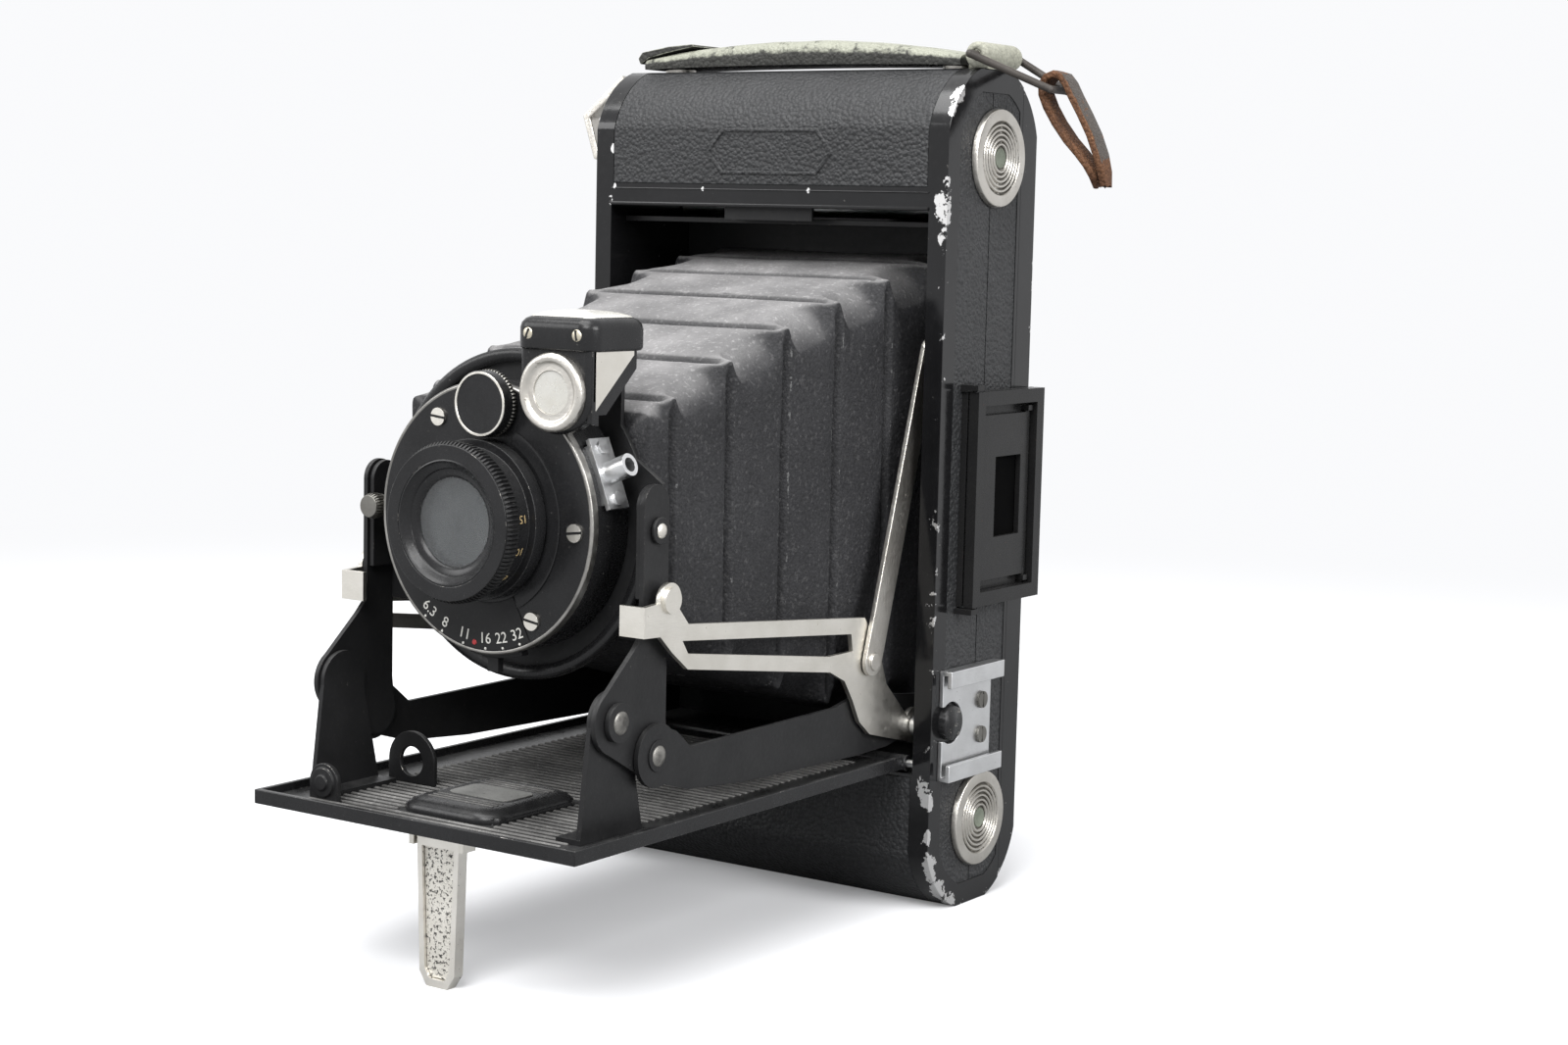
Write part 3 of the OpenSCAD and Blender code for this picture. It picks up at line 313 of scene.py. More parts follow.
@shader_group("Mask", Amount=0.3, Scale=90.0, From=0.1, Even=0.0)
def dust_and_top_light(s: Sketch, ins: Ins) -> Outs:
    """Dust on what faces up; where it is laid on thick, as on the bellows, it is partly painted light that
    makes the tops pale.

    Args:
        s: Sketch of the group's tree.
        ins: The group's inputs.

    Returns:
        The outputs by name.
    """
    coords = s.add("ShaderNodeTexCoord")
    height = s.add("ShaderNodeSeparateXYZ", {0: coords.outputs["Normal"]}).outputs[2]
    up = s.ease(height, ins["From"], 1.0)
    place = coords.outputs["Object"]
    patch = s.ease(s.noise(place, ins["Scale"], 6.0, 0.65), 0.3, 0.75)
    speck = s.ease(s.noise(place, s.math("MULTIPLY", ins["Scale"], 14.0), 2.0), 0.56, 0.7)
    cover = s.blend(ins["Even"], patch, 0.8)
    strewn = s.math("MULTIPLY", speck, s.math("ADD", 0.1, s.math("MULTIPLY", up, 0.25)))
    laid = s.math("ADD", s.math("MULTIPLY", up, cover), strewn)
    return {"Mask": s.math("MULTIPLY", laid, ins["Amount"], clamp=True)}


@shader_group("Tone", "Speck", "Fine", Scale=60.0, Specks=0.2)
def mottle(s: Sketch, ins: Ins) -> Outs:
    """Slow tone changes and sharp specks.

    Args:
        s: Sketch of the group's tree.
        ins: The group's inputs.

    Returns:
        The outputs by name.
    """
    place = object_coords(s)
    tone = s.noise(place, ins["Scale"], 6.0, 0.6)
    pits = s.noise(place, s.math("MULTIPLY", ins["Scale"], 9.0), 3.0, 0.7)
    low = s.math("SUBTRACT", 0.72, s.math("MULTIPLY", ins["Specks"], 0.3))
    speck = s.ease(pits, low, s.math("ADD", low, 0.05))
    return {"Tone": s.ease(tone, 0.28, 0.72), "Speck": speck, "Fine": pits}


@shader_group("Height", Scale=1500.0)
def brushing(s: Sketch, ins: Ins) -> Outs:
    """Fine lines of a rubbed metal.

    Args:
        s: Sketch of the group's tree.
        ins: The group's inputs.

    Returns:
        The outputs by name.
    """
    place = object_coords(s)
    lines = s.add("ShaderNodeMapping", {"Vector": place, "Scale": (0.6, 0.25, 1.0)}).outputs[0]
    return {"Height": s.noise(lines, ins["Scale"], 4.0, 0.7)}


@shader_group("Near", Half=0.04, Front=-0.0163, Reach=0.0048)
def case_edges(s: Sketch, ins: Ins) -> Outs:
    """Nearness to the long edges of the body, from its own coordinates.

    Args:
        s: Sketch of the group's tree.
        ins: The group's inputs.

    Returns:
        The outputs by name.
    """
    x, y, z = s.add("ShaderNodeSeparateXYZ", {0: object_coords(s)}).outputs
    side = s.math("SUBTRACT", ins["Half"], s.math("ABSOLUTE", x))
    flat = s.math("ABSOLUTE", s.math("SUBTRACT", y, ins["Front"]))
    middle = CASE_HIGH * MM / 2
    past = s.math("SUBTRACT", s.math("ABSOLUTE", s.math("SUBTRACT", z, middle)), middle - CASE_END_C * MM)
    past = s.math("MAXIMUM", past, 0.0)
    out = s.math("SQRT", s.math("ADD", s.math("MULTIPLY", y, y), s.math("MULTIPLY", past, past)))
    face = s.math("MINIMUM", flat, s.math("ABSOLUTE", s.math("SUBTRACT", out, CASE_END_R * MM)))
    away = s.math("MAXIMUM", side, face)
    near = s.math("SUBTRACT", 1.0, s.ease(away, 0.0, ins["Reach"]))
    right = s.ease(x, 0.0, 0.03)
    bias = s.math("ADD", 0.55, s.math("MULTIPLY", right, 0.45))
    low = s.math("SUBTRACT", 1.0, s.ease(z, 0.0, 0.03))
    return {"Near": s.math("MULTIPLY", near, s.math("ADD", bias, s.math("MULTIPLY", low, 0.25)))}


# Places and radii, in millimetres, where the enamel has been knocked off.
CHIP_SPOTS = (
    (40.0, -13.2, 151.3, 3.6), (39.8, -15.4, 148.6, 2.0), (39.2, -16.3, 130.4, 3.7),
    (38.7, -16.3, 124.8, 1.1), (39.9, -16.3, 134.6, 1.5), (38.6, -16.3, 24.6, 3.0),
    (39.7, -16.3, 21.8, 2.6), (40.0, -14.4, 9.2, 3.2), (40.0, -10.6, 3.0, 4.0), (40.0, -7.0, 0.4, 3.2),
    (40.0, -16.3, 15.0, 1.3), (39.6, -16.3, 76.0, 0.8), (40.0, 16.9, 121.0, 2.2),
    (40.0, 17.0, 115.6, 1.6), (40.0, 17.0, 110.4, 1.3), (40.0, 17.2, 52.0, 1.8),
    (40.0, 17.2, 45.4, 1.3), (-35.9, -16.3, 140.5, 1.2), (-35.4, -16.3, 133.2, 0.7),
    (-36.4, -16.3, 130.4, 1.2), (-14.2, -16.3, 133.0, 0.6), (10.0, -16.3, 132.9, 0.7),
    (-36.6, -15.2, 149.6, 1.2))
CHIP_STRETCH = (1.0, 1.0, 0.62)


@shader_group("Mask", Amount=1.0)
def chip_spots(s: Sketch, ins: Ins) -> Outs:
    """Largest of the soft balls round the chipped spots.

    Args:
        s: Sketch of the group's tree.
        ins: The group's inputs.

    Returns:
        The outputs by name.
    """
    place = object_coords(s)
    mask: object = 0.0
    for x, y, z, r in CHIP_SPOTS:
        spot = tuple(v * MM for v in (x, y, z))
        gap = s.add("ShaderNodeVectorMath", {0: place, 1: spot}, operation="SUBTRACT").outputs[0]
        long = s.add("ShaderNodeVectorMath", {0: gap, 1: CHIP_STRETCH}, operation="MULTIPLY").outputs[0]
        away = s.add("ShaderNodeVectorMath", {0: long}, operation="LENGTH").outputs["Value"]
        ball = s.math("SUBTRACT", 1.0, s.ease(away, 0.3 * r * MM, r * MM))
        mask = s.math("MAXIMUM", mask, ball)
    return {"Mask": s.math("MULTIPLY", mask, ins["Amount"])}


# ------------------------------------------------------------------ finishes

class Grain(Enum):
    """Relief of a finish."""

    PLAIN = "plain"
    PEBBLE = "pebble"
    BRUSHED = "brushed"


class EdgeFrom(Enum):
    """Where a finish reads how near an edge is."""

    BEVEL = "bevel"
    CASE = "case"


# Roughness of specks, dust and bared chips, and how metallic a speck on metal stays.
SPECK_ROUGH, DUST_ROUGH, CHIP_ROUGH = 0.75, 0.9, 0.42
SPECK_METAL = 0.2


@dataclass(frozen=True)
class SurfaceFinish:
    """An opaque finish with tone changes, specks, dust and wear; pebbled grain adds painted shade in its
    creases, and heavy dust on what faces up, as on the bellows, is partly painted top light.

    Sizes of bumps are in metres; scales are per metre.
    """

    name: str
    colour: Colour
    second: Colour
    roughness: float = 0.4
    rough_spread: float = 0.15
    metallic: float = 0.0
    tone_scale: float = 60.0
    tone_share: float = 0.6
    specks: float = 0.0
    speck_colour: Colour = (0.02, 0.02, 0.02)
    speck_share: float = 0.7
    dust: float = 0.0
    dust_colour: Colour = (0.3, 0.3, 0.29)
    dust_from: float = 0.1
    dust_even: float = 0.0
    wear: float = 0.0
    wear_colour: Colour = (0.55, 0.54, 0.52)
    wear_scale: float = 260.0
    wear_soft: float = 0.15
    wear_metal: float = 1.0
    edge_from: EdgeFrom = EdgeFrom.BEVEL
    grain: Grain = Grain.PLAIN
    grain_scale: float = 1400.0
    grain_depth: float = 0.0
    swell: float = 4.0
    specular: float = 0.5

    def material(self) -> bpy.types.Material:
        """Material of this finish, made once.

        Returns:
            The material.
        """
        made = bpy.data.materials.get(self.name)
        if made:
            return made
        made = bpy.data.materials.new(self.name)
        made.diffuse_color = (*self.colour, 1.0)
        s = bare_tree(made)
        shader = s.add("ShaderNodeBsdfPrincipled", {"Specular IOR Level": self.specular})
        s.add("ShaderNodeOutputMaterial", {"Surface": shader.outputs[0]})
        self.surface(s, shader)
        return made

    def surface(self, s: Sketch, shader: bpy.types.Node) -> None:
        """Colour, roughness, metal and relief.

        Args:
            s: Sketch of the material's tree.
            shader: The Principled node that takes them.
        """
        tones = s.group(mottle(), Scale=self.tone_scale, Specks=self.specks)
        tone = tones.outputs["Tone"]
        colour = s.mix(s.math("MULTIPLY", tone, self.tone_share), self.colour, self.second)
        low = max(0.03, self.roughness - self.rough_spread)
        rough = s.blend(tones.outputs["Fine"], low, self.roughness + self.rough_spread)
        metal: object = self.metallic
        if self.grain is Grain.PEBBLE:
            grain = s.group(pebble_grain(), Scale=self.grain_scale, Swell=self.swell)
            # Painted shade: the creases between the pebbles darken towards 0.55 of the colour.
            crease_shade = tuple(c * 0.55 for c in self.colour)
            colour = s.mix(s.math("MULTIPLY", grain.outputs["Crease"], 0.6), colour, crease_shade)
        elif self.grain is Grain.BRUSHED:
            grain = s.group(brushing(), Scale=self.grain_scale)
        if self.specks:
            share = s.math("MULTIPLY", tones.outputs["Speck"], self.speck_share)
            colour = s.mix(share, colour, self.speck_colour)
            rough = s.blend(share, rough, SPECK_ROUGH)
            if self.metallic:
                metal = s.blend(share, self.metallic, SPECK_METAL)
        if self.dust:
            dust = s.group(dust_and_top_light(), Amount=self.dust, From=self.dust_from,
                           Even=self.dust_even).outputs[0]
            colour = s.mix(dust, colour, self.dust_colour)
            rough = s.blend(dust, rough, DUST_ROUGH)
        if self.wear:
            amount: object = self.wear
            if self.edge_from is EdgeFrom.CASE:
                spots = s.group(chip_spots()).outputs[0]
                near = s.math("MAXIMUM", s.group(case_edges()).outputs[0], spots)
                amount = s.math("ADD", self.wear, s.math("MULTIPLY", spots, 0.6))
            else:
                near = s.add("ShaderNodeAttribute", attribute_name="edge").outputs["Fac"]
            chips = s.group(edge_wear(), Near=near, Amount=amount, Scale=self.wear_scale,
                            Softness=self.wear_soft).outputs[0]
            colour = s.mix(chips, colour, self.wear_colour)
            rough = s.blend(chips, rough, CHIP_ROUGH)
            if metal != self.wear_metal:
                metal = s.blend(chips, metal, self.wear_metal)
        if self.grain_depth:
            height = tones.outputs["Fine"] if self.grain is Grain.PLAIN else grain.outputs["Height"]
            bump = s.add("ShaderNodeBump", {"Height": height, "Distance": self.grain_depth})
            s.put(shader.inputs["Normal"], bump.outputs[0])
        s.put(shader.inputs["Base Color"], colour)
        s.put(shader.inputs["Roughness"], rough)
        s.put(shader.inputs["Metallic"], metal)


@dataclass(frozen=True)
class GlassFinish:
    """Glass with haze and dust on it."""

    name: str
    tint: Colour
    haze: Colour
    haze_share: float = 0.4
    roughness: float = 0.08
    transmission: float = 1.0
    dust_colour: Colour = (0.75, 0.75, 0.72)

    def material(self) -> bpy.types.Material:
        """Material of this glass, made once.

        Returns:
            The material.
        """
        made = bpy.data.materials.get(self.name)
        if made:
            return made
        made = bpy.data.materials.new(self.name)
        s = bare_tree(made)
        tones = s.group(mottle(), Scale=120.0, Specks=0.25)
        share = s.math("MULTIPLY", tones.outputs["Tone"], self.haze_share)
        colour = s.mix(share, self.tint, self.haze)
        colour = s.mix(s.math("MULTIPLY", tones.outputs["Speck"], 0.6), colour, self.dust_colour)
        rough = s.blend(tones.outputs["Fine"], self.roughness * 0.5, self.roughness * 1.5)
        shader = s.add("ShaderNodeBsdfPrincipled", {
            "Base Color": colour, "Roughness": rough, "Metallic": 0.0,
            "Transmission Weight": self.transmission, "IOR": 1.5})
        s.add("ShaderNodeOutputMaterial", {"Surface": shader.outputs[0]})
        return made


Finish = SurfaceFinish | GlassFinish

ENAMEL = SurfaceFinish(
    "enamel_black", (0.005, 0.005, 0.0054), (0.009, 0.009, 0.0098), 0.13, 0.07, tone_scale=70,
    specks=0.04, speck_colour=(0.25, 0.24, 0.22), speck_share=0.5, dust=0.06, wear=0.1, wear_scale=270,
    wear_soft=0.1, wear_colour=(0.62, 0.615, 0.61), edge_from=EdgeFrom.CASE, grain_depth=0.00001,
    specular=0.36)
ENAMEL_EDGE = SurfaceFinish(
    "enamel_edge_worn", (0.008, 0.008, 0.0085), (0.014, 0.014, 0.015), 0.28, 0.12, tone_scale=80,
    specks=0.06, speck_colour=(0.16, 0.155, 0.15), speck_share=0.5, dust=0.1, wear=0.25, wear_scale=320,
    wear_colour=(0.4, 0.38, 0.36), grain_depth=0.00002, specular=0.25)
BLACK_METAL = SurfaceFinish(
    "black_metal_satin", (0.009, 0.009, 0.0095), (0.017, 0.017, 0.0175), 0.42, 0.14, tone_scale=110,
    specks=0.08, speck_colour=(0.13, 0.125, 0.115), speck_share=0.5, dust=0.09, wear=0.3, wear_scale=420,
    wear_colour=(0.2, 0.19, 0.175), grain_depth=0.00003, specular=0.2)
BLACK_GLOSS = SurfaceFinish(
    "black_gloss_shutter", (0.009, 0.009, 0.0095), (0.017, 0.017, 0.018), 0.26, 0.12, tone_scale=130,
    specks=0.1, speck_colour=(0.2, 0.19, 0.175), speck_share=0.45, dust=0.05, wear=0.3, wear_scale=500,
    wear_colour=(0.3, 0.285, 0.26), grain_depth=0.00002, specular=0.25)
FINDER_BLACK = SurfaceFinish(
    "finder_black_browned", (0.011, 0.011, 0.0113), (0.017, 0.0165, 0.0165), 0.26, 0.12, tone_scale=60,
    specks=0.03, speck_colour=(0.1, 0.05, 0.04), speck_share=0.5, dust=0.04, wear=0.1, wear_scale=130,
    wear_colour=(0.12, 0.05, 0.04), wear_metal=0.3, grain_depth=0.00002, specular=0.16)
LEATHER = SurfaceFinish(
    "leather_black_pebbled", (0.015, 0.0155, 0.0165), (0.024, 0.0245, 0.026), 0.5, 0.12, tone_scale=45,
    specks=0.03, speck_colour=(0.1, 0.1, 0.095), speck_share=0.5, dust=0.06,
    dust_colour=(0.14, 0.14, 0.14), grain=Grain.PEBBLE, grain_scale=1350, grain_depth=0.00035, swell=0.7,
    specular=0.35)
# Painted light in part: the heavy pale dust on what faces up is real dust and also light from above painted
# onto the tops of the pleats.
BELLOWS_LEATHER = SurfaceFinish(
    "bellows_leather_grey", (0.018, 0.018, 0.0195), (0.03, 0.03, 0.032), 0.66, 0.14, tone_scale=70,
    specks=0.05, speck_colour=(0.12, 0.12, 0.115), speck_share=0.2, dust=0.85,
    dust_colour=(0.29, 0.285, 0.285), dust_from=0.42, dust_even=0.6, wear=0.35,
    wear_colour=(0.085, 0.085, 0.085), wear_metal=0.0, wear_scale=300, grain=Grain.PEBBLE,
    grain_scale=1900, grain_depth=0.00012, swell=4.0, specular=0.2)
NICKEL = SurfaceFinish(
    "nickel_satin", (0.74, 0.715, 0.66), (0.6, 0.575, 0.515), 0.34, 0.12, metallic=1.0, tone_scale=120,
    specks=0.12, speck_colour=(0.1, 0.085, 0.06), speck_share=0.5, grain=Grain.BRUSHED, grain_scale=2600,
    grain_depth=0.00003)
NICKEL_PITTED = SurfaceFinish(
    "nickel_pitted", (0.58, 0.56, 0.52), (0.42, 0.395, 0.355), 0.36, 0.14, metallic=1.0, tone_scale=160,
    specks=0.24, speck_colour=(0.07, 0.06, 0.045), speck_share=0.75, grain_depth=0.00006)
CAP_NICKEL = replace(
    NICKEL_PITTED, name="nickel_ringed", wear=0.85, wear_colour=(0.05, 0.045, 0.035), wear_metal=0.2,
    wear_scale=240)
CAP_CENTRE = SurfaceFinish(
    "cap_centre_greened", (0.2, 0.225, 0.18), (0.12, 0.13, 0.1), 0.6, 0.15, metallic=0.4, tone_scale=500,
    specks=0.2, speck_colour=(0.05, 0.05, 0.04), grain_depth=0.00004)
STAND_NICKEL = SurfaceFinish(
    "nickel_stand_rim", (0.8, 0.775, 0.725), (0.66, 0.63, 0.575), 0.36, 0.12, metallic=0.95,
    tone_scale=150, specks=0.12, speck_colour=(0.03, 0.028, 0.025), speck_share=0.8, grain_depth=0.00004)
STAND_FIELD = SurfaceFinish(
    "nickel_stand_specked", (0.78, 0.755, 0.7), (0.56, 0.535, 0.48), 0.5, 0.14, metallic=0.8,
    tone_scale=170, specks=0.62, speck_colour=(0.014, 0.013, 0.012), speck_share=0.95, grain_depth=0.00012)
STEEL = SurfaceFinish(
    "steel_zinc", (0.68, 0.685, 0.69), (0.53, 0.53, 0.53), 0.34, 0.14, metallic=1.0, tone_scale=140,
    specks=0.12, speck_colour=(0.12, 0.1, 0.08), grain=Grain.BRUSHED, grain_scale=2200,
    grain_depth=0.00003)
DARK_STEEL = SurfaceFinish(
    "steel_dulled", (0.2, 0.195, 0.18), (0.12, 0.115, 0.105), 0.45, 0.14, metallic=1.0, tone_scale=140,
    specks=0.16, speck_colour=(0.05, 0.04, 0.03), grain=Grain.BRUSHED, grain_scale=2200,
    grain_depth=0.00003)
BRASS = SurfaceFinish(
    "brass_dull", (0.42, 0.32, 0.17), (0.26, 0.19, 0.1), 0.4, 0.14, metallic=1.0, tone_scale=200,
    specks=0.2, speck_colour=(0.08, 0.055, 0.03), grain_depth=0.00002)
SCREW_BRASS = replace(BRASS, name="brass_screw", colour=(0.6, 0.56, 0.46), second=(0.42, 0.37, 0.28))
STRAP = SurfaceFinish(
    "strap_leather_worn", (0.022, 0.022, 0.02), (0.05, 0.05, 0.045), 0.6, 0.14, tone_scale=60,
    specks=0.08, speck_colour=(0.03, 0.03, 0.028), dust=0.5, dust_colour=(0.2, 0.2, 0.165), dust_from=0.8,
    wear=1.25, wear_colour=(0.27, 0.275, 0.225), wear_scale=300, wear_soft=0.7, wear_metal=0.0,
    grain=Grain.PEBBLE, grain_scale=1300, grain_depth=0.00025, swell=2.0, specular=0.25)
BARREL = SurfaceFinish(
    "strap_roll_pale", (0.33, 0.33, 0.275), (0.2, 0.2, 0.16), 0.6, 0.15, tone_scale=160, specks=0.14,
    speck_colour=(0.08, 0.075, 0.06), grain=Grain.PEBBLE, grain_scale=1500, grain_depth=0.00015,
    swell=4.0, specular=0.3)
THONG = SurfaceFinish(
    "thong_leather_brown", (0.075, 0.034, 0.017), (0.16, 0.075, 0.035), 0.75, 0.14, tone_scale=150,
    specks=0.18, speck_colour=(0.3, 0.15, 0.07), speck_share=0.6, wear=0.95,
    wear_colour=(0.05, 0.042, 0.036), wear_metal=0.0, wear_scale=260, grain=Grain.PEBBLE,
    grain_scale=1500, grain_depth=0.0003, swell=6.0, specular=0.25)
BED_FLOOR = replace(
    BLACK_METAL, name="bed_floor_dusty", dust=0.8, dust_colour=(0.27, 0.265, 0.255), dust_from=-0.5,
    dust_even=0.4)
BADGE = replace(
    BLACK_METAL, name="bed_badge_bare", colour=(0.11, 0.11, 0.105), second=(0.2, 0.2, 0.19), specks=0.25,
    speck_colour=(0.015, 0.015, 0.015), dust=0.3, grain_depth=0.00012)
FACE_RIM = replace(
    NICKEL_PITTED, name="nickel_rim_worn", colour=(0.4, 0.39, 0.37), second=(0.13, 0.125, 0.115),
    tone_scale=70, tone_share=0.9)
PIVOT_STEEL = replace(
    DARK_STEEL, name="pivot_steel_worn", colour=(0.07, 0.068, 0.064), second=(0.3, 0.29, 0.27),
    tone_scale=420, tone_share=0.9)
LOOP_DARK = SurfaceFinish(
    "loop_dark", (0.03, 0.026, 0.023), (0.07, 0.062, 0.055), 0.55, 0.14, tone_scale=260, specks=0.1,
    speck_colour=(0.16, 0.14, 0.12), grain_depth=0.00004, specular=0.3)
# Painted shade: a near-black plate with almost no reflection, for the dark inside the frame finder's
# window.
WINDOW_SHADE = SurfaceFinish(
    "window_painted_shade", (0.0015, 0.0015, 0.0016), (0.003, 0.003, 0.003), 0.8, 0.1, tone_scale=200,
    specular=0.02)
WHITE_PAINT = SurfaceFinish(
    "figures_white", (0.7, 0.69, 0.65), (0.52, 0.51, 0.47), 0.6, 0.1, tone_scale=500, specks=0.1,
    speck_colour=(0.2, 0.2, 0.2))
GOLD_PAINT = SurfaceFinish(
    "figures_gold", (0.42, 0.31, 0.15), (0.3, 0.22, 0.11), 0.5, 0.1, tone_scale=500, specks=0.15,
    speck_colour=(0.1, 0.08, 0.05))
RED_PAINT = SurfaceFinish("mark_red", (0.42, 0.025, 0.03), (0.3, 0.02, 0.02), 0.45, 0.1, tone_scale=600)
LENS_GLASS = GlassFinish("glass_dusty", (0.62, 0.65, 0.66), (0.34, 0.36, 0.38), 0.75, 0.1, 0.93)
FINDER_GLASS = GlassFinish("glass_milky", (0.75, 0.74, 0.7), (0.6, 0.58, 0.51), 0.7, 0.25, 0.35)
RED_GLASS = GlassFinish("glass_red", (0.55, 0.02, 0.015), (0.35, 0.02, 0.02), 0.4, 0.1, 0.7)


# -------------------------------------------------------------------- meshes

def new_object(name: str, mesh: bpy.types.Mesh) -> Piece:
    """Object at the origin that shows the mesh.

    Args:
        name: Name of the object.
        mesh: The mesh.

    Returns:
        The new object.
    """
    obj = bpy.data.objects.new(name, mesh)
    bpy.context.scene.collection.objects.link(obj)
    return obj


def flatten(obj: Piece) -> Piece:
    """Turn an object's modifiers into its plain mesh.

    Args:
        obj: Mesh object whose modifiers are finished.

    Returns:
        The same object, with no modifiers.
    """
    graph = bpy.context.evaluated_depsgraph_get()
    graph.update()
    mesh = bpy.data.meshes.new_from_object(obj.evaluated_get(graph), preserve_all_data_layers=True,
                                           depsgraph=graph)
    obj.modifiers.clear()
    old, obj.data = obj.data, mesh
    mesh.name = obj.name
    bpy.data.meshes.remove(old)
    return obj


def even_normals(obj: Piece, sharp_deg: float = 42.0) -> Piece:
    """Smooth shading that stays flat on the large faces.

    Args:
        obj: Piece to shade.
        sharp_deg: Edges that turn by more than this stay sharp.

    Returns:
        The same object.
    """
    obj.data.shade_smooth()
    obj.data.set_sharp_from_angle(angle=math.radians(sharp_deg))
    weighted = obj.modifiers.new("even", "WEIGHTED_NORMAL")
    weighted.keep_sharp = True
    weighted.weight = 100
    return flatten(obj)


def soften(bm: bmesh.types.BMesh, width: float, angle_deg: float = 28.0) -> None:
    """Round the sharp edges and mark the middle of each rounding in the layer "edge".

    Args:
        bm: Mesh to change.
        width: Width of the rounding in metres.
        angle_deg: Edges that turn by more than this are rounded.
    """
    mark = bm.verts.layers.float.get("edge") or bm.verts.layers.float.new("edge")
    sharp = [e for e in bm.edges if e.is_manifold and e.calc_face_angle(0.0) > math.radians(angle_deg)]
    if not sharp or width <= 0:
        return
    made = bmesh.ops.bevel(bm, geom=sharp, offset=width, offset_type="OFFSET", segments=2, profile=0.55,
                           affect="EDGES", clamp_overlap=True, loop_slide=True)
    fresh = set(made["faces"])
    for v in bm.verts:
        if v.link_faces and all(f in fresh for f in v.link_faces):
            v[mark] = 1.0


def on_case_outline(edge: bmesh.types.BMEdge) -> bool:
    """Whether an edge runs where a side of the body meets its front, back or ends.

    Args:
        edge: Edge of the casing or the back door.

    Returns:
        True on that outline.
    """
    if min(abs(v.co.x) for v in edge.verts) < (CASE_HALF - 0.05) * MM:
        return False
    middle = (edge.verts[0].co + edge.verts[1].co) / 2 / MM
    inside = min(middle.z, CASE_HIGH - middle.z)
    past = inside - CASE_END_C
    on_arc = past < 0.0 and abs(math.hypot(middle.y, past) - CASE_END_R) < 0.2
    return on_arc or inside < 0.05 or abs(abs(middle.y) + BODY_FRONT) < 0.05


def refined(node: str, width: float, case_round: float = 0.0) -> Piece:
    """Copy of a CAD node with merged faces and rounded edges.

    Args:
        node: Name of the CAD node.
        width: Width of the rounding in millimetres.
        case_round: Radius on the long outer edges of the body, in millimetres.

    Returns:
        The new object.
    """
    bm = bmesh.new()
    bm.from_mesh(frame["nodes"][node].data)
    bmesh.ops.remove_doubles(bm, verts=bm.verts, dist=3e-6)
    bmesh.ops.dissolve_limit(bm, angle_limit=math.radians(0.4), verts=bm.verts, edges=bm.edges)
    if case_round:
        long_edges = [e for e in bm.edges if e.is_manifold and on_case_outline(e)]
        bmesh.ops.bevel(bm, geom=long_edges, offset=case_round * MM, offset_type="OFFSET", segments=5,
                        profile=0.5, affect="EDGES", clamp_overlap=True, loop_slide=True)
    soften(bm, width * MM)
    mesh = bpy.data.meshes.new(node + "_finish")
    bm.to_mesh(mesh)
    bm.free()
    return even_normals(new_object(node + "_finish", mesh))


def kept_behind(obj: Piece, spot: Sequence[float], way: Sequence[float]) -> Piece:
    """Cut off what lies beyond a plane and close the cut.

    Args:
        obj: Piece to cut.
        spot: Point of the plane in millimetres.
        way: Direction of what is cut off.

    Returns:
        The same object.
    """
    bm = bmesh.new()
    bm.from_mesh(obj.data)
    bmesh.ops.bisect_plane(bm, geom=[*bm.verts, *bm.edges, *bm.faces], dist=1e-7, clear_outer=True,
                           plane_co=Vector(spot) * MM, plane_no=way)
    bmesh.ops.holes_fill(bm, edges=[e for e in bm.edges if e.is_boundary])
    bm.to_mesh(obj.data)
    bm.free()
    return obj


def split_across(obj: Piece, y: float, gap: float) -> Piece:
    """Part a piece by a narrow gap across its depth.

    Args:
        obj: Piece to part.
        y: Middle of the gap in millimetres.
        gap: Width of the gap in millimetres.

    Returns:
        One object with both halves.
    """
    name = obj.name
    other = new_object(name + "_half", obj.data.copy())
    halves = [kept_behind(half, (0.0, y + way * gap / 2, 0.0), (0.0, -way, 0.0))
              for half, way in ((obj, -1.0), (other, 1.0))]
    return even_normals(joined(name, halves))


def from_grid(name: str, rows: Sequence[Sequence[Vector]], closed: bool = True,
              capped: bool = False) -> Piece:
    """Skin between rows of points.

    Args:
        name: Name of the piece.
        rows: Rows with equal numbers of points.
        closed: Whether each row is a ring.
        capped: Whether the first and the last row are closed by a face.

    Returns:
        The new object.
    """
    points = [p for row in rows for p in row]
    n = len(rows[0])
    faces = []
    for i in range(len(rows) - 1):
        for k in range(n if closed else n - 1):
            j = (k + 1) % n
            faces.append((i * n + k, i * n + j, (i + 1) * n + j, (i + 1) * n + k))
    if capped:
        last = (len(rows) - 1) * n
        faces += [tuple(range(n))[::-1], tuple(range(last, last + n))]
    mesh = bpy.data.meshes.new(name)
    mesh.from_pydata(points, [], faces)
    return new_object(name, mesh)


def outward(obj: Piece) -> Piece:
    """Merge doubles and turn the faces outwards.

    Args:
        obj: Closed piece.

    Returns:
        The same object.
    """
    bm = bmesh.new()
    bm.from_mesh(obj.data)
    bmesh.ops.remove_doubles(bm, verts=bm.verts, dist=2e-6)
    bmesh.ops.recalc_face_normals(bm, faces=bm.faces)
    bm.to_mesh(obj.data)
    bm.free()
    return obj


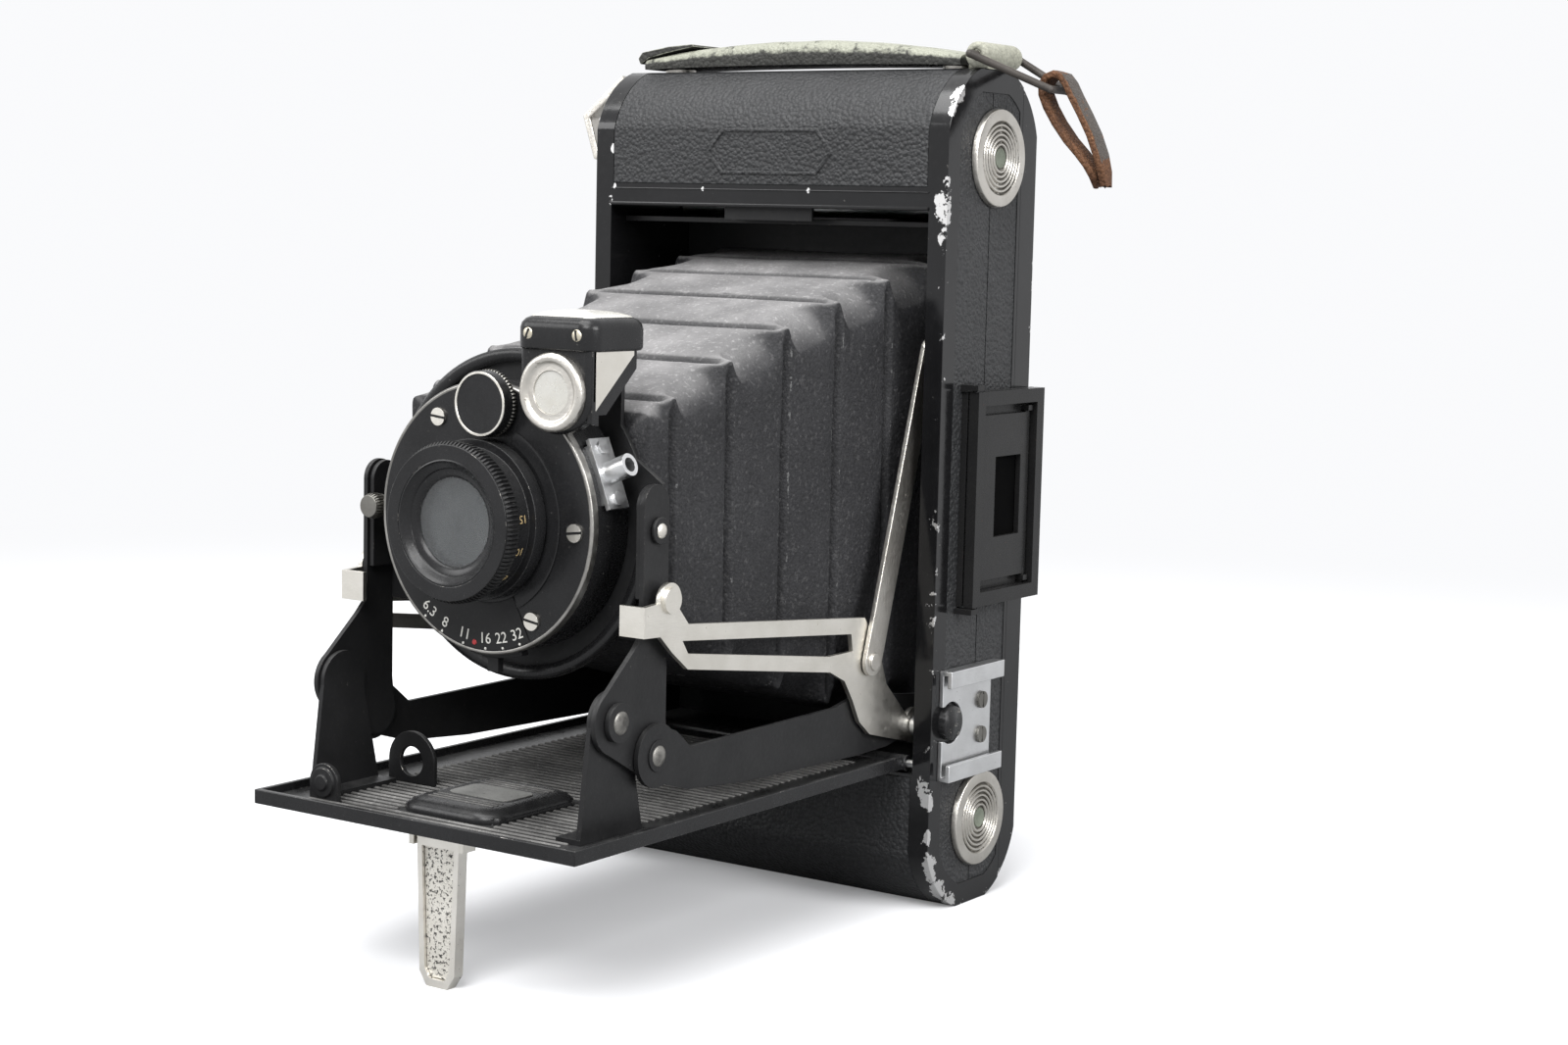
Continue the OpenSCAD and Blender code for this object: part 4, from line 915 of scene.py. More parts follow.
def prism(name: str, outline: Sequence[Vector], along: Vector, width: float) -> Piece:
    """Solid between an outline and its shifted copy, with rounded edges.

    Args:
        name: Name of the piece.
        outline: Corners in order.
        along: Shift to the other end.
        width: Width of the rounding in millimetres.

    Returns:
        The new object.
    """
    bm = bmesh.new()
    low = [bm.verts.new(p) for p in outline]
    high = [bm.verts.new(p + along) for p in outline]
    bm.faces.new(low[::-1])
    bm.faces.new(high)
    for k in range(len(low)):
        j = (k + 1) % len(low)
        bm.faces.new((low[k], low[j], high[j], high[k]))
    bmesh.ops.recalc_face_normals(bm, faces=bm.faces)
    soften(bm, width * MM)
    mesh = bpy.data.meshes.new(name)
    bm.to_mesh(mesh)
    bm.free()
    return even_normals(new_object(name, mesh))


def slot_shade_bar(name: str, centre: Vector, turn: float, half_long: float, half_wide: float) -> Piece:
    """Dark bar of painted shade that reads as the shaded slot of a screw facing forward.

    Args:
        name: Name of the piece.
        centre: Middle of the bar's rear face, in metres.
        turn: Turn of the bar from level, in degrees.
        half_long: Half its length in millimetres.
        half_wide: Half its width in millimetres.

    Returns:
        The new object.
    """
    a = math.radians(turn)
    long = Vector((math.cos(a), 0.0, math.sin(a))) * (half_long * MM)
    wide = Vector((-math.sin(a), 0.0, math.cos(a))) * (half_wide * MM)
    corners = [centre + long * u + wide * v for u, v in ((-1, -1), (1, -1), (1, 1), (-1, 1))]
    return prism(name, corners, FORWARD * (SLOT_HIGH * MM), 0.0)


class Axis(Enum):
    """Which way the axis of a turned piece runs."""

    FORWARD = "forward"
    SIDE = "side"


def lathed(name: str, profile: Sequence[tuple[float, float]], across: float, z: float, sides: int = 96,
           axis: Axis = Axis.FORWARD, dirty: Sequence[int] = ()) -> Piece:
    """Closed ring turned about an axis.

    Args:
        name: Name of the piece.
        profile: Radius and place along the axis of the ring's section in order, in millimetres.
        across: Place of the axis: x where it runs forward, forward distance where it runs sideways.
        z: Height of the axis.
        sides: Number of steps round the axis.
        axis: Which way the axis runs.
        dirty: Numbers of the profile's points that the layer "edge" marks.

    Returns:
        The new object.
    """
    rows = []
    for r, along in [*profile, profile[0]]:
        row = []
        for i in range(sides):
            a = 2 * math.pi * i / sides
            u, v = across + r * math.cos(a), z + r * math.sin(a)
            row.append(at(u, along, v) if axis is Axis.FORWARD else at(along, u, v))
        rows.append(row)
    obj = from_grid(name, rows)
    edge = obj.data.attributes.new("edge", "FLOAT", "POINT")
    for k in dirty:
        for i in range(sides):
            edge.data[k * sides + i].value = 1.0
    return even_normals(outward(obj), 50.0)


def ring_arc(name: str, profile: Sequence[tuple[float, float]], span: tuple[float, float],
             sides: int = 96) -> Piece:
    """Part of a ring round the lens axis.

    Args:
        name: Name of the piece.
        profile: Radius and forward distance of the section in order, in millimetres.
        span: First and last angle in degrees, counted from +X towards +Z.
        sides: Number of steps along the arc.

    Returns:
        The new object.
    """
    rows = []
    for i in range(sides + 1):
        a = math.radians(span[0] + (span[1] - span[0]) * i / sides)
        rows.append([at(r * math.cos(a), f, LENS_Z + r * math.sin(a)) for r, f in profile])
    return even_normals(outward(from_grid(name, rows, True, True)), 50.0)


def rounded_rectangle(across: tuple[float, float], forward: tuple[float, float], z: float,
                      r: float) -> list[Vector]:
    """Outline of a rounded rectangle that lies level.

    Args:
        across: Lowest and highest x in millimetres.
        forward: Lowest and highest forward distance in millimetres.
        z: Height in millimetres.
        r: Radius of the corners in millimetres.

    Returns:
        Points of the outline in metres.
    """
    points = []
    (x0, x1), (f0, f1) = across, forward
    for cx, cf, turn in ((x1 - r, f1 - r, 0), (x0 + r, f1 - r, 90), (x0 + r, f0 + r, 180),
                         (x1 - r, f0 + r, 270)):
        for i in range(CORNER_STEPS + 1):
            a = math.radians(turn + 90 * i / CORNER_STEPS)
            points.append(at(cx + r * math.cos(a), cf + r * math.sin(a), z))
    return points


def side_prism(name: str, x: float, section: Profile, length: float, width: float) -> Piece:
    """Solid whose section runs across the camera.

    Args:
        name: Name of the piece.
        x: Where it starts, in millimetres.
        section: Forward distances and heights of its corners.
        length: Its length along x in millimetres.
        width: Width of the rounding in millimetres.

    Returns:
        The new object.
    """
    return prism(name, [at(x, f, z) for f, z in section], Vector((length * MM, 0.0, 0.0)), width)


def figure_mesh(name: str, words: str, size: float, depth: float = 0.03) -> Piece:
    """Flat figures in the XY plane, centred on the origin.

    Args:
        name: Name of the piece.
        words: Figures to write.
        size: Height of the type in millimetres.
        depth: Thickness in millimetres.

    Returns:
        A mesh object.
    """
    curve = bpy.data.curves.new(name, "FONT")
    curve.body = words
    curve.size = size * MM
    curve.extrude = depth * MM / 2
    curve.resolution_u = 3
    curve.align_x = "CENTER"
    curve.align_y = "CENTER"
    text = bpy.data.objects.new(name, curve)
    bpy.context.scene.collection.objects.link(text)
    graph = bpy.context.evaluated_depsgraph_get()
    graph.update()
    mesh = bpy.data.meshes.new_from_object(text.evaluated_get(graph), depsgraph=graph)
    bpy.data.objects.remove(text)
    bpy.data.curves.remove(curve)
    return new_object(name, mesh)


def joined(name: str, parts: Sequence[Piece]) -> Piece:
    """One object from several.

    Args:
        name: Name of the new object.
        parts: Mesh objects, which are removed.

    Returns:
        The new object.
    """
    bm = bmesh.new()
    for part in parts:
        bm.from_mesh(part.data)
        mesh = part.data
        bpy.data.objects.remove(part)
        bpy.data.meshes.remove(mesh)
    mesh = bpy.data.meshes.new(name)
    bm.to_mesh(mesh)
    bm.free()
    return new_object(name, mesh)


def ring_figures(name: str, marks: Sequence[tuple[str, float]], centre: Vector, radius: float,
                 size: float) -> Piece:
    """Figures round a circle that faces forward.

    Args:
        name: Name of the piece.
        marks: Words and their angles in degrees, counted from +X towards +Z.
        centre: Centre of the circle in metres.
        radius: Radius of the circle in millimetres.
        size: Height of the type in millimetres.

    Returns:
        One mesh object with all the figures, their feet towards the rim.
    """
    parts = []
    for i, (words, angle) in enumerate(marks):
        part = figure_mesh(f"{name}_{i}", words, size)
        a = math.radians(angle)
        up = Vector((-math.cos(a), 0.0, -math.sin(a)))
        right = up.cross(FORWARD).normalized()
        turn = Matrix((right, up, FORWARD)).transposed().to_4x4()
        spot = centre + Vector((math.cos(a), 0.0, math.sin(a))) * radius * MM
        part.data.transform(Matrix.Translation(spot) @ turn)
        parts.append(part)
    return joined(name, parts)


# ----------------------------------------------------------------- repeats

class Facing(Enum):
    """How a repeated shape is turned on its points."""

    AS_MADE = "as made"
    OUT = "out"
    OUT_ABOUT_Y = "out about y"


class Repeat:
    """A Geometry Nodes tree that places one shape on the points of a mesh."""

    def __init__(self, name: str, sizes: dict[str, float]) -> None:
        """Start the tree with its named sizes.

        Args:
            name: Name of the tree.
            sizes: Names and values of the size inputs, in millimetres.
        """
        self.tree = bpy.data.node_groups.new(name, "GeometryNodeTree")
        face = self.tree.interface
        face.new_socket("Geometry", in_out="INPUT", socket_type="NodeSocketGeometry")
        face.new_socket("Geometry", in_out="OUTPUT", socket_type="NodeSocketGeometry")
        self.ids = {}
        for key, value in sizes.items():
            socket = face.new_socket(key, in_out="INPUT", socket_type="NodeSocketFloat")
            socket.default_value = value * MM
            self.ids[key] = socket.identifier
        self.sizes = sizes
        finish = face.new_socket("Finish", in_out="INPUT", socket_type="NodeSocketMaterial")
        self.finish_id = finish.identifier
        self.sketch = Sketch(self.tree)
        self.source = self.sketch.add("NodeGroupInput").outputs

    def close(self, shape: Socket, facing: Facing, smooth: bool = True) -> None:
        """Place the shape on every point and end the tree.

        Args:
            shape: Geometry socket of the shape.
            facing: How the shape's Z turns to the points' directions.
            smooth: Whether the shape is shaded smooth.
        """
        s = self.sketch
        ins = {"Points": self.source["Geometry"], "Instance": shape}
        if facing is not Facing.AS_MADE:
            way = s.add("GeometryNodeInputNamedAttribute", {"Name": "facing"}, data_type="FLOAT_VECTOR")
            turn = s.add("FunctionNodeAlignRotationToVector", {"Vector": way.outputs[0]}, axis="Z")
            if facing is Facing.OUT_ABOUT_Y:
                first = s.add("FunctionNodeAlignRotationToVector", {"Vector": (0.0, 1.0, 0.0)}, axis="Y")
                s.put(turn.inputs["Rotation"], first.outputs[0])
                turn.pivot_axis = "Y"
            ins["Rotation"] = turn.outputs[0]
        placed = s.add("GeometryNodeInstanceOnPoints", ins)
        shown = s.add("GeometryNodeRealizeInstances", {0: placed.outputs[0]})
        if smooth:
            shown = s.add("GeometryNodeSetShadeSmooth", {0: shown.outputs[0], "Shade Smooth": True})
        dressed = s.add("GeometryNodeSetMaterial", {0: shown.outputs[0], "Material": self.source["Finish"]})
        s.add("NodeGroupOutput", {0: dressed.outputs[0]})

    def sized(self, shape: bpy.types.Node, *sizes: object) -> Socket:
        """Scale a shape.

        Args:
            shape: Node that makes the shape.
            *sizes: Scale along X, Y and Z.

        Returns:
            Geometry socket of the scaled shape.
        """
        scale = self.sketch.add("ShaderNodeCombineXYZ", dict(enumerate(sizes)))
        return self.sketch.add("GeometryNodeTransform", {
            0: shape.outputs[0], "Scale": scale.outputs[0]}).outputs[0]

    def place(self, name: str, spots: Spots, finish: Finish, **sizes: float) -> Piece:
        """Make one plain mesh with the shape on each spot.

        Args:
            name: Name of the piece.
            spots: Points and the directions that the shape faces there.
            finish: Finish of the shape.
            **sizes: Sizes in millimetres that differ from the tree's own.

        Returns:
            The new object.
        """
        mesh = bpy.data.meshes.new(name)
        mesh.from_pydata([p for p, _ in spots], [], [])
        facing = mesh.attributes.new("facing", "FLOAT_VECTOR", "POINT")
        for i, (_, way) in enumerate(spots):
            facing.data[i].vector = way
        obj = new_object(name, mesh)
        modifier = obj.modifiers.new("repeat", "NODES")
        modifier.node_group = self.tree
        for key, value in {**self.sizes, **sizes}.items():
            modifier[self.ids[key]] = value * MM
        modifier[self.finish_id] = finish.material()
        return outward(flatten(obj))


def rivet_tree() -> Repeat:
    """Low domed rivet heads.

    Returns:
        The finished tree.
    """
    tree = Repeat("rivet_heads", {"Radius": 1.8, "Height": 0.7})
    s = tree.sketch
    ball = s.add("GeometryNodeMeshUVSphere", {"Segments": 20, "Rings": 10, "Radius": tree.source["Radius"]})
    share = s.math("DIVIDE", tree.source["Height"], tree.source["Radius"])
    tree.close(tree.sized(ball, 1.0, 1.0, share), Facing.OUT)
    return tree


def rib_tree() -> Repeat:
    """Long low ribs with round tops.

    Returns:
        The finished tree.
    """
    tree = Repeat("bed_ribs", {"Length": 50.0, "Width": 0.9, "Height": 0.3})
    s = tree.sketch
    bar = s.add("GeometryNodeMeshCylinder", {"Vertices": 10, "Radius": 0.5, "Depth": 1.0})
    turned = s.add("GeometryNodeTransform", {0: bar.outputs[0], "Rotation": (0.0, math.pi / 2, 0.0)})
    both_sides = s.math("MULTIPLY", tree.source["Height"], 2.0)
    tree.close(tree.sized(turned, tree.source["Length"], tree.source["Width"], both_sides), Facing.AS_MADE)
    return tree


def knurl_tree() -> Repeat:
    """Teeth of a knurled rim, along Y.

    Returns:
        The finished tree.
    """
    tree = Repeat("knurl_teeth", {"Length": 3.0, "Width": 0.6, "Height": 0.4})
    s = tree.sketch
    tooth = s.add("GeometryNodeMeshCone", {"Vertices": 4, "Radius Top": 0.35, "Radius Bottom": 0.72,
                                           "Depth": 1.0})
    level = s.add("GeometryNodeTransform", {0: tooth.outputs[0], "Rotation": (0.0, 0.0, math.pi / 4)})
    tree.close(tree.sized(level, *(tree.source[key] for key in ("Width", "Length", "Height"))),
               Facing.OUT_ABOUT_Y, smooth=False)
    return tree


def rim_spots(centre: Vector, radius: float, count: int) -> Spots:
    """Even places round a rim that faces forward.

    Args:
        centre: Centre of the rim in metres.
        radius: Radius of the rim in millimetres.
        count: Number of places.

    Returns:
        The places and the directions away from the centre.
    """
    turns = [2 * math.pi * i / count for i in range(count)]
    ways = [Vector((math.cos(a), 0.0, math.sin(a))) for a in turns]
    return [(centre + way * radius * MM, way) for way in ways]


# ------------------------------------------------------------- sub-assemblies

SLOTS = {row["node"]: row["material_slot"] for row in frame["record"]["subparts"]}


def body_of(node: str) -> str:
    """CAD body that a node rides on."""
    return frame["nodes"][node]["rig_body"]


@dataclass
class SubAssembly:
    """Pieces of one part of the camera."""

    title: str = "part"
    made: list[Piece] = field(default_factory=list)

    def carry(self, node: str, finish: Finish, width: float = 0.15) -> Piece:
        """Stand a refined copy in for a CAD node.

        Args:
            node: Name of the CAD node.
            finish: Finish of the copy.
            width: Width of its rounded edges in millimetres.

        Returns:
            The copy.
        """
        return self.stand_in(refined(node, width), node, finish)

    def stand_in(self, obj: Piece, node: str, finish: Finish) -> Piece:
        """Stand a piece in for a CAD node, on the node's body."""
        return self.settle(obj, body_of(node), finish, SLOTS[node], node)

    def settle(self, obj: Piece, body: str, finish: Finish, slot: str,
               *nodes: str) -> Piece:
        """Dress a piece and tie it to the frame.

        Args:
            obj: The finished piece.
            body: CAD body that it rides on.
            finish: Its finish.
            slot: The record's material slot; not used.
            *nodes: CAD nodes that it stands for.

        Returns:
            The piece.
        """
        obj.data.materials.clear()
        obj.data.materials.append(finish.material())
        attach(obj, body)
        if nodes:
            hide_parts(*nodes)
        self.made.append(obj)
        log.info("%s: %s on %s, %d faces", self.title, obj.name, body, len(obj.data.polygons))
        return obj

    def build(self) -> None:
        """Make and dress the pieces."""
        raise NotImplementedError


@dataclass
class BodyShell(SubAssembly):
    """Casing, its leather, spool caps, shoe and the fittings in the walls."""

    title: str = "body shell"
    bevel: float = 0.3
    side_round: float = 2.0
    leather_edge: float = 0.12
    seam_y: float = -0.8
    seam: float = 0.3
    cap_f: float = -17.4
    cap_z: tuple[float, float] = (16.0, 139.6)
    cap_high: float = 1.0
    cap_floor: float = 0.58
    cap_rim: Profile = ((6.6, -0.42), (6.85, 0.0), (8.7, 0.0), (8.95, -0.2), (9.0, -1.1), (3.0, -1.1),
                        (3.0, -10.8), (POLE, -10.8))
    cap_dimple: Profile = ((POLE, -0.02), (1.1, 0.02), (1.55, 0.2), (1.8, 0.22), (1.9, -0.1), (POLE, -0.2))
    rings: int = 5
    ring_first: float = 2.1
    ring_pitch: float = 0.88
    button_high: float = 1.5
    open_z: float = 129.6
    bead_half: float = 36.2
    beads: tuple[tuple[float, float, float], ...] = ((0.0, 0.75, 0.4), (3.1, 3.5, 0.2))
    hub_high: float = 2.05
    key_y: tuple[float, float] = (-0.5, 2.7)
    key_bar: Profile = ((1.8, -0.9), (13.4, -0.85), (16.4, 8.05), (6.4, 16.0), (5.4, 14.7), (14.4, 7.45),
                        (12.3, 0.9), (1.8, 0.9))
    plaque: tuple[float, float] = (0.8, 140.0)
    plaque_half: tuple[float, float] = (14.5, 4.4)
    plaque_corners: Profile = ((1.0, 0.0), (0.76, 1.0), (-0.76, 1.0), (-1.0, 0.0), (-0.76, -1.0),
                               (0.76, -1.0))
    plaque_ridge: Profile = ((0.0, -0.1), (0.25, 0.22), (0.75, 0.22), (1.0, -0.1))

    def build(self) -> None:
        """Make and dress the pieces."""
        self.stand_in(refined("body_casing", self.bevel, self.side_round), "body_casing", ENAMEL)
        self.carry("end_leather", LEATHER, self.leather_edge)
        sides = split_across(refined("side_leather", self.leather_edge), self.seam_y, self.seam)
        self.stand_in(sides, "side_leather", LEATHER)
        self.caps()
        self.pressed_outline()
        self.carry("accessory_shoe", STEEL)
        self.carry("shoe_screws", DARK_STEEL, 0.12)
        top = (CASE_HALF + self.button_high, 0.0, 0.0)
        button = kept_behind(refined("bed_button", 0.3), top, (1.0, 0.0, 0.0))
        self.stand_in(button, "bed_button", BLACK_GLOSS)
        self.carry("tripod_bush", BRASS)
        self.carry("bed_hinge_pin", STEEL, 0.1)
        self.carry("bed_latch", BLACK_METAL, 0.12)
        self.carry("wall_pivots", STEEL, 0.12)
        self.key()
        self.opening_bead()

    def key(self) -> None:
        """Winding key: the hub and shaft of the CAD node with a bent bar on them."""
        cut = (-CASE_HALF - self.hub_high, 0.0, 0.0)
        hub = kept_behind(refined("winding_key", 0.25), cut, (-1.0, 0.0, 0.0))
        near, far = self.key_y
        outline = [Vector((-CASE_HALF - q, near, self.cap_z[1] + z)) * MM for q, z in self.key_bar]
        bar = prism("key_bar", outline, FORWARD * ((near - far) * MM), 0.4)
        self.stand_in(joined("winding_key_finish", [hub, bar]), "winding_key", NICKEL_PITTED)

    def opening_bead(self) -> None:
        """Rolled edge over the opening and a line under the leather."""
        beads = []
        for low, high, lift in self.beads:
            low, high = self.open_z + low, self.open_z + high
            section = ((-0.2, low), (lift, low + 0.1), (lift, high - 0.1), (-0.2, high))
            beads.append(side_prism(f"bead_{high}", -self.bead_half, section, 2 * self.bead_half, 0.14))
        self.settle(joined("opening_bead", beads), "body", ENAMEL, SLOTS["body_casing"])

    def caps(self) -> None:
        """Ringed caps of the spool bearings, with a dull centre."""
        face, floor = CASE_HALF + self.cap_high, CASE_HALF + self.cap_floor
        top = face - 0.04
        profile = [(POLE, floor - 0.1), (1.7, floor - 0.05), (1.9, floor)]
        dirty = [2]
        for k in range(self.rings):
            r = self.ring_first + self.ring_pitch * k
            profile += [(r + 0.08, floor), (r + 0.28, top), (r + 0.56, top), (r + 0.76, floor)]
            dirty += [len(profile) - 4, len(profile) - 1]
        dirty.append(len(profile))
        profile += [(r, face + q) for r, q in self.cap_rim]
        dimple = [(r, floor + q) for r, q in self.cap_dimple]
        turned = [lathed(f"cap_{z}", profile, self.cap_f, z, 96, Axis.SIDE, dirty) for z in self.cap_z]
        self.settle(joined("spool_caps_finish", turned), "body", CAP_NICKEL, "nickel", "spool_caps")
        centres = [lathed(f"centre_{z}", dimple, self.cap_f, z, 40, Axis.SIDE) for z in self.cap_z]
        self.settle(joined("spool_cap_centres", centres), "body", CAP_CENTRE, "nickel")

    def pressed_outline(self) -> None:
        """Bare outline pressed into the leather over the opening."""
        (cx, cz), (hw, hh) = self.plaque, self.plaque_half
        rows = [[at(cx + u * (hw - inset), lift, cz + v * (hh - inset * 0.9))
                 for inset, lift in self.plaque_ridge]
                for u, v in (*self.plaque_corners, self.plaque_corners[0])]
        ridge = even_normals(outward(from_grid("pressed_outline", rows, False)), 60.0)
        self.settle(ridge, "body", LEATHER, SLOTS["end_leather"])


@dataclass
class FilmChamber(SubAssembly):
    """What lies behind the bellows and in the back."""

    title: str = "film chamber"
    door_bevel: float = 0.3
    door_round: float = 1.3

    def build(self) -> None:
        """Make and dress the pieces."""
        for node in ("film_gate", "takeup_spool", "pressure_plate"):
            self.carry(node, BLACK_METAL, 0.12)
        for node in ("roller_top", "roller_bottom", "supply_pins", "pressure_springs", "back_hinge_pin"):
            self.carry(node, STEEL, 0.1)
        self.stand_in(refined("back_door", self.door_bevel, self.door_round), "back_door", ENAMEL)
        self.carry("back_leather", LEATHER, 0.12)
        self.carry("red_window", RED_GLASS)
        self.carry("window_cover", BLACK_METAL)
        self.carry("back_latch", NICKEL, 0.2)


@dataclass
class Bed(SubAssembly):
    """Drop bed with its ribs, pocket, brackets and stand."""

    title: str = "bed"
    top: float = 28.3
    rib_pitch: float = 1.9
    rib_first: float = 6.0
    rib_last: float = 92.0
    rib_half: float = 27.2
    pocket_half: float = 10.6
    pocket_from: float = 64.6
    pocket_to: float = 88.4
    pocket_r: float = 4.4
    pocket_rise: Profile = ((0.0, -0.05), (0.0, 0.7), (0.3, 1.3), (0.8, 1.75), (1.5, 2.05), (2.4, 2.2),
                            (4.0, 2.25))
    pocket_lines: tuple[float, ...] = (68.4, 69.6, 70.8, 81.6, 82.8, 84.0)
    line_lift: float = 2.2
    badge_half: float = 6.6
    badge_forward: tuple[float, float] = (72.2, 80.2)
    badge_lift: float = 2.1
    badge_thick: float = 0.35
    field_f: float = 88.68
    field_thick: float = 0.3
    stand_field: Profile = ((-3.4, 23.5), (3.4, 23.5), (2.65, 3.0), (1.55, 1.5), (-1.55, 1.5),
                            (-2.65, 3.0))

    def build(self) -> None:
        """Make and dress the pieces."""
        self.carry("bed", ENAMEL_EDGE, 0.2)
        self.carry("bed_leather", LEATHER, 0.12)
        for node in ("brackets", "finger_lug", "bed_catch"):
            self.carry(node, BLACK_METAL, 0.18)
        self.carry("stand_hanger", NICKEL, 0.12)
        self.carry("kickstand", STAND_NICKEL, 0.25)
        outline = [at(x, self.field_f, z) for x, z in self.stand_field]
        plate = prism("stand_field", outline, FORWARD * (self.field_thick * MM), 0.05)
        self.settle(plate, body_of("kickstand"), STAND_FIELD, SLOTS["kickstand"])
        self.ribs()
        self.pocket()

    def pocket(self) -> None:
        """Rounded pocket with a rim, a ribbed floor and a bare badge."""
        rows = []
        for inset, lift in self.pocket_rise:
            half = self.pocket_half - inset
            rows.append(rounded_rectangle((-half, half), (self.pocket_from + inset, self.pocket_to - inset),
                                          self.top + lift, self.pocket_r - inset * 0.6))
        rim = even_normals(outward(from_grid("pocket_rim", rows, True, True)), 60.0)
        self.settle(rim, "bed", BLACK_GLOSS, "black_metal")
        outline = rounded_rectangle((-self.badge_half, self.badge_half), self.badge_forward,
                                    self.top + self.badge_lift, 1.6)
        badge = prism("pocket_badge", outline, UP * (self.badge_thick * MM), 0.12)
        self.settle(badge, "bed", BADGE, "black_metal")
        lines = [(at(0.0, f, self.top + self.line_lift), UP) for f in self.pocket_lines]
        ribs = rib_tree().place("pocket_ribs", lines, BED_FLOOR, Length=14.0, Width=0.6, Height=0.2)
        self.settle(ribs, "bed", BED_FLOOR, "black_metal")

    def ribs(self) -> None:
        """Fine ribs pressed into the floor of the bed."""
        whole, left, right = [], [], []
        f = self.rib_first
        side = (self.rib_half + self.pocket_half) / 2
        while f < self.rib_last:
            if self.pocket_from < f < self.pocket_to:
                left.append((at(-side, f, self.top), UP))
                right.append((at(side, f, self.top), UP))
            else:
                whole.append((at(0.0, f, self.top), UP))
            f += self.rib_pitch
        tree = rib_tree()
        short = self.rib_half - self.pocket_half
        parts = [tree.place("bed_ribs_whole", whole, BED_FLOOR, Length=2 * self.rib_half),
                 tree.place("bed_ribs_sides", left + right, BED_FLOOR, Length=short)]
        self.settle(joined("bed_ribs", parts), "bed", BED_FLOOR, "black_metal")


@dataclass
class Linkage(SubAssembly):
    """Legs, arms, struts and links that raise the lens board."""

    title: str = "linkage"
    head_high: float = 0.5

    def build(self) -> None:
        """Make and dress the pieces."""
        for node in ("legs", "arms"):
            self.carry(node, BLACK_METAL, 0.14)
        self.carry("struts", NICKEL, 0.2)
        self.carry("links", NICKEL_PITTED, 0.14)
        self.rivets()

    def rivets(self) -> None:
        """Domed heads on the pivots of the legs, on both sides."""
        tree = rivet_tree()
        for name, node, finish, x, f, z, radius in (
                ("leg_rivets", "brackets", PIVOT_STEEL, 31.5, 81.8, 47.3, 2.0),
                ("arm_rivets", "legs", PIVOT_STEEL, 31.75, 72.0, 40.5, 1.8),
                ("board_rivets", "lens_board", NICKEL, 31.2, 71.5, LENS_Z, 1.3)):
            spots = [(at(side * x, f, z), Vector((side, 0.0, 0.0))) for side in (-1.0, 1.0)]
            heads = tree.place(name, spots, finish, Radius=radius, Height=self.head_high)
            self.settle(heads, body_of(node), finish, "nickel")


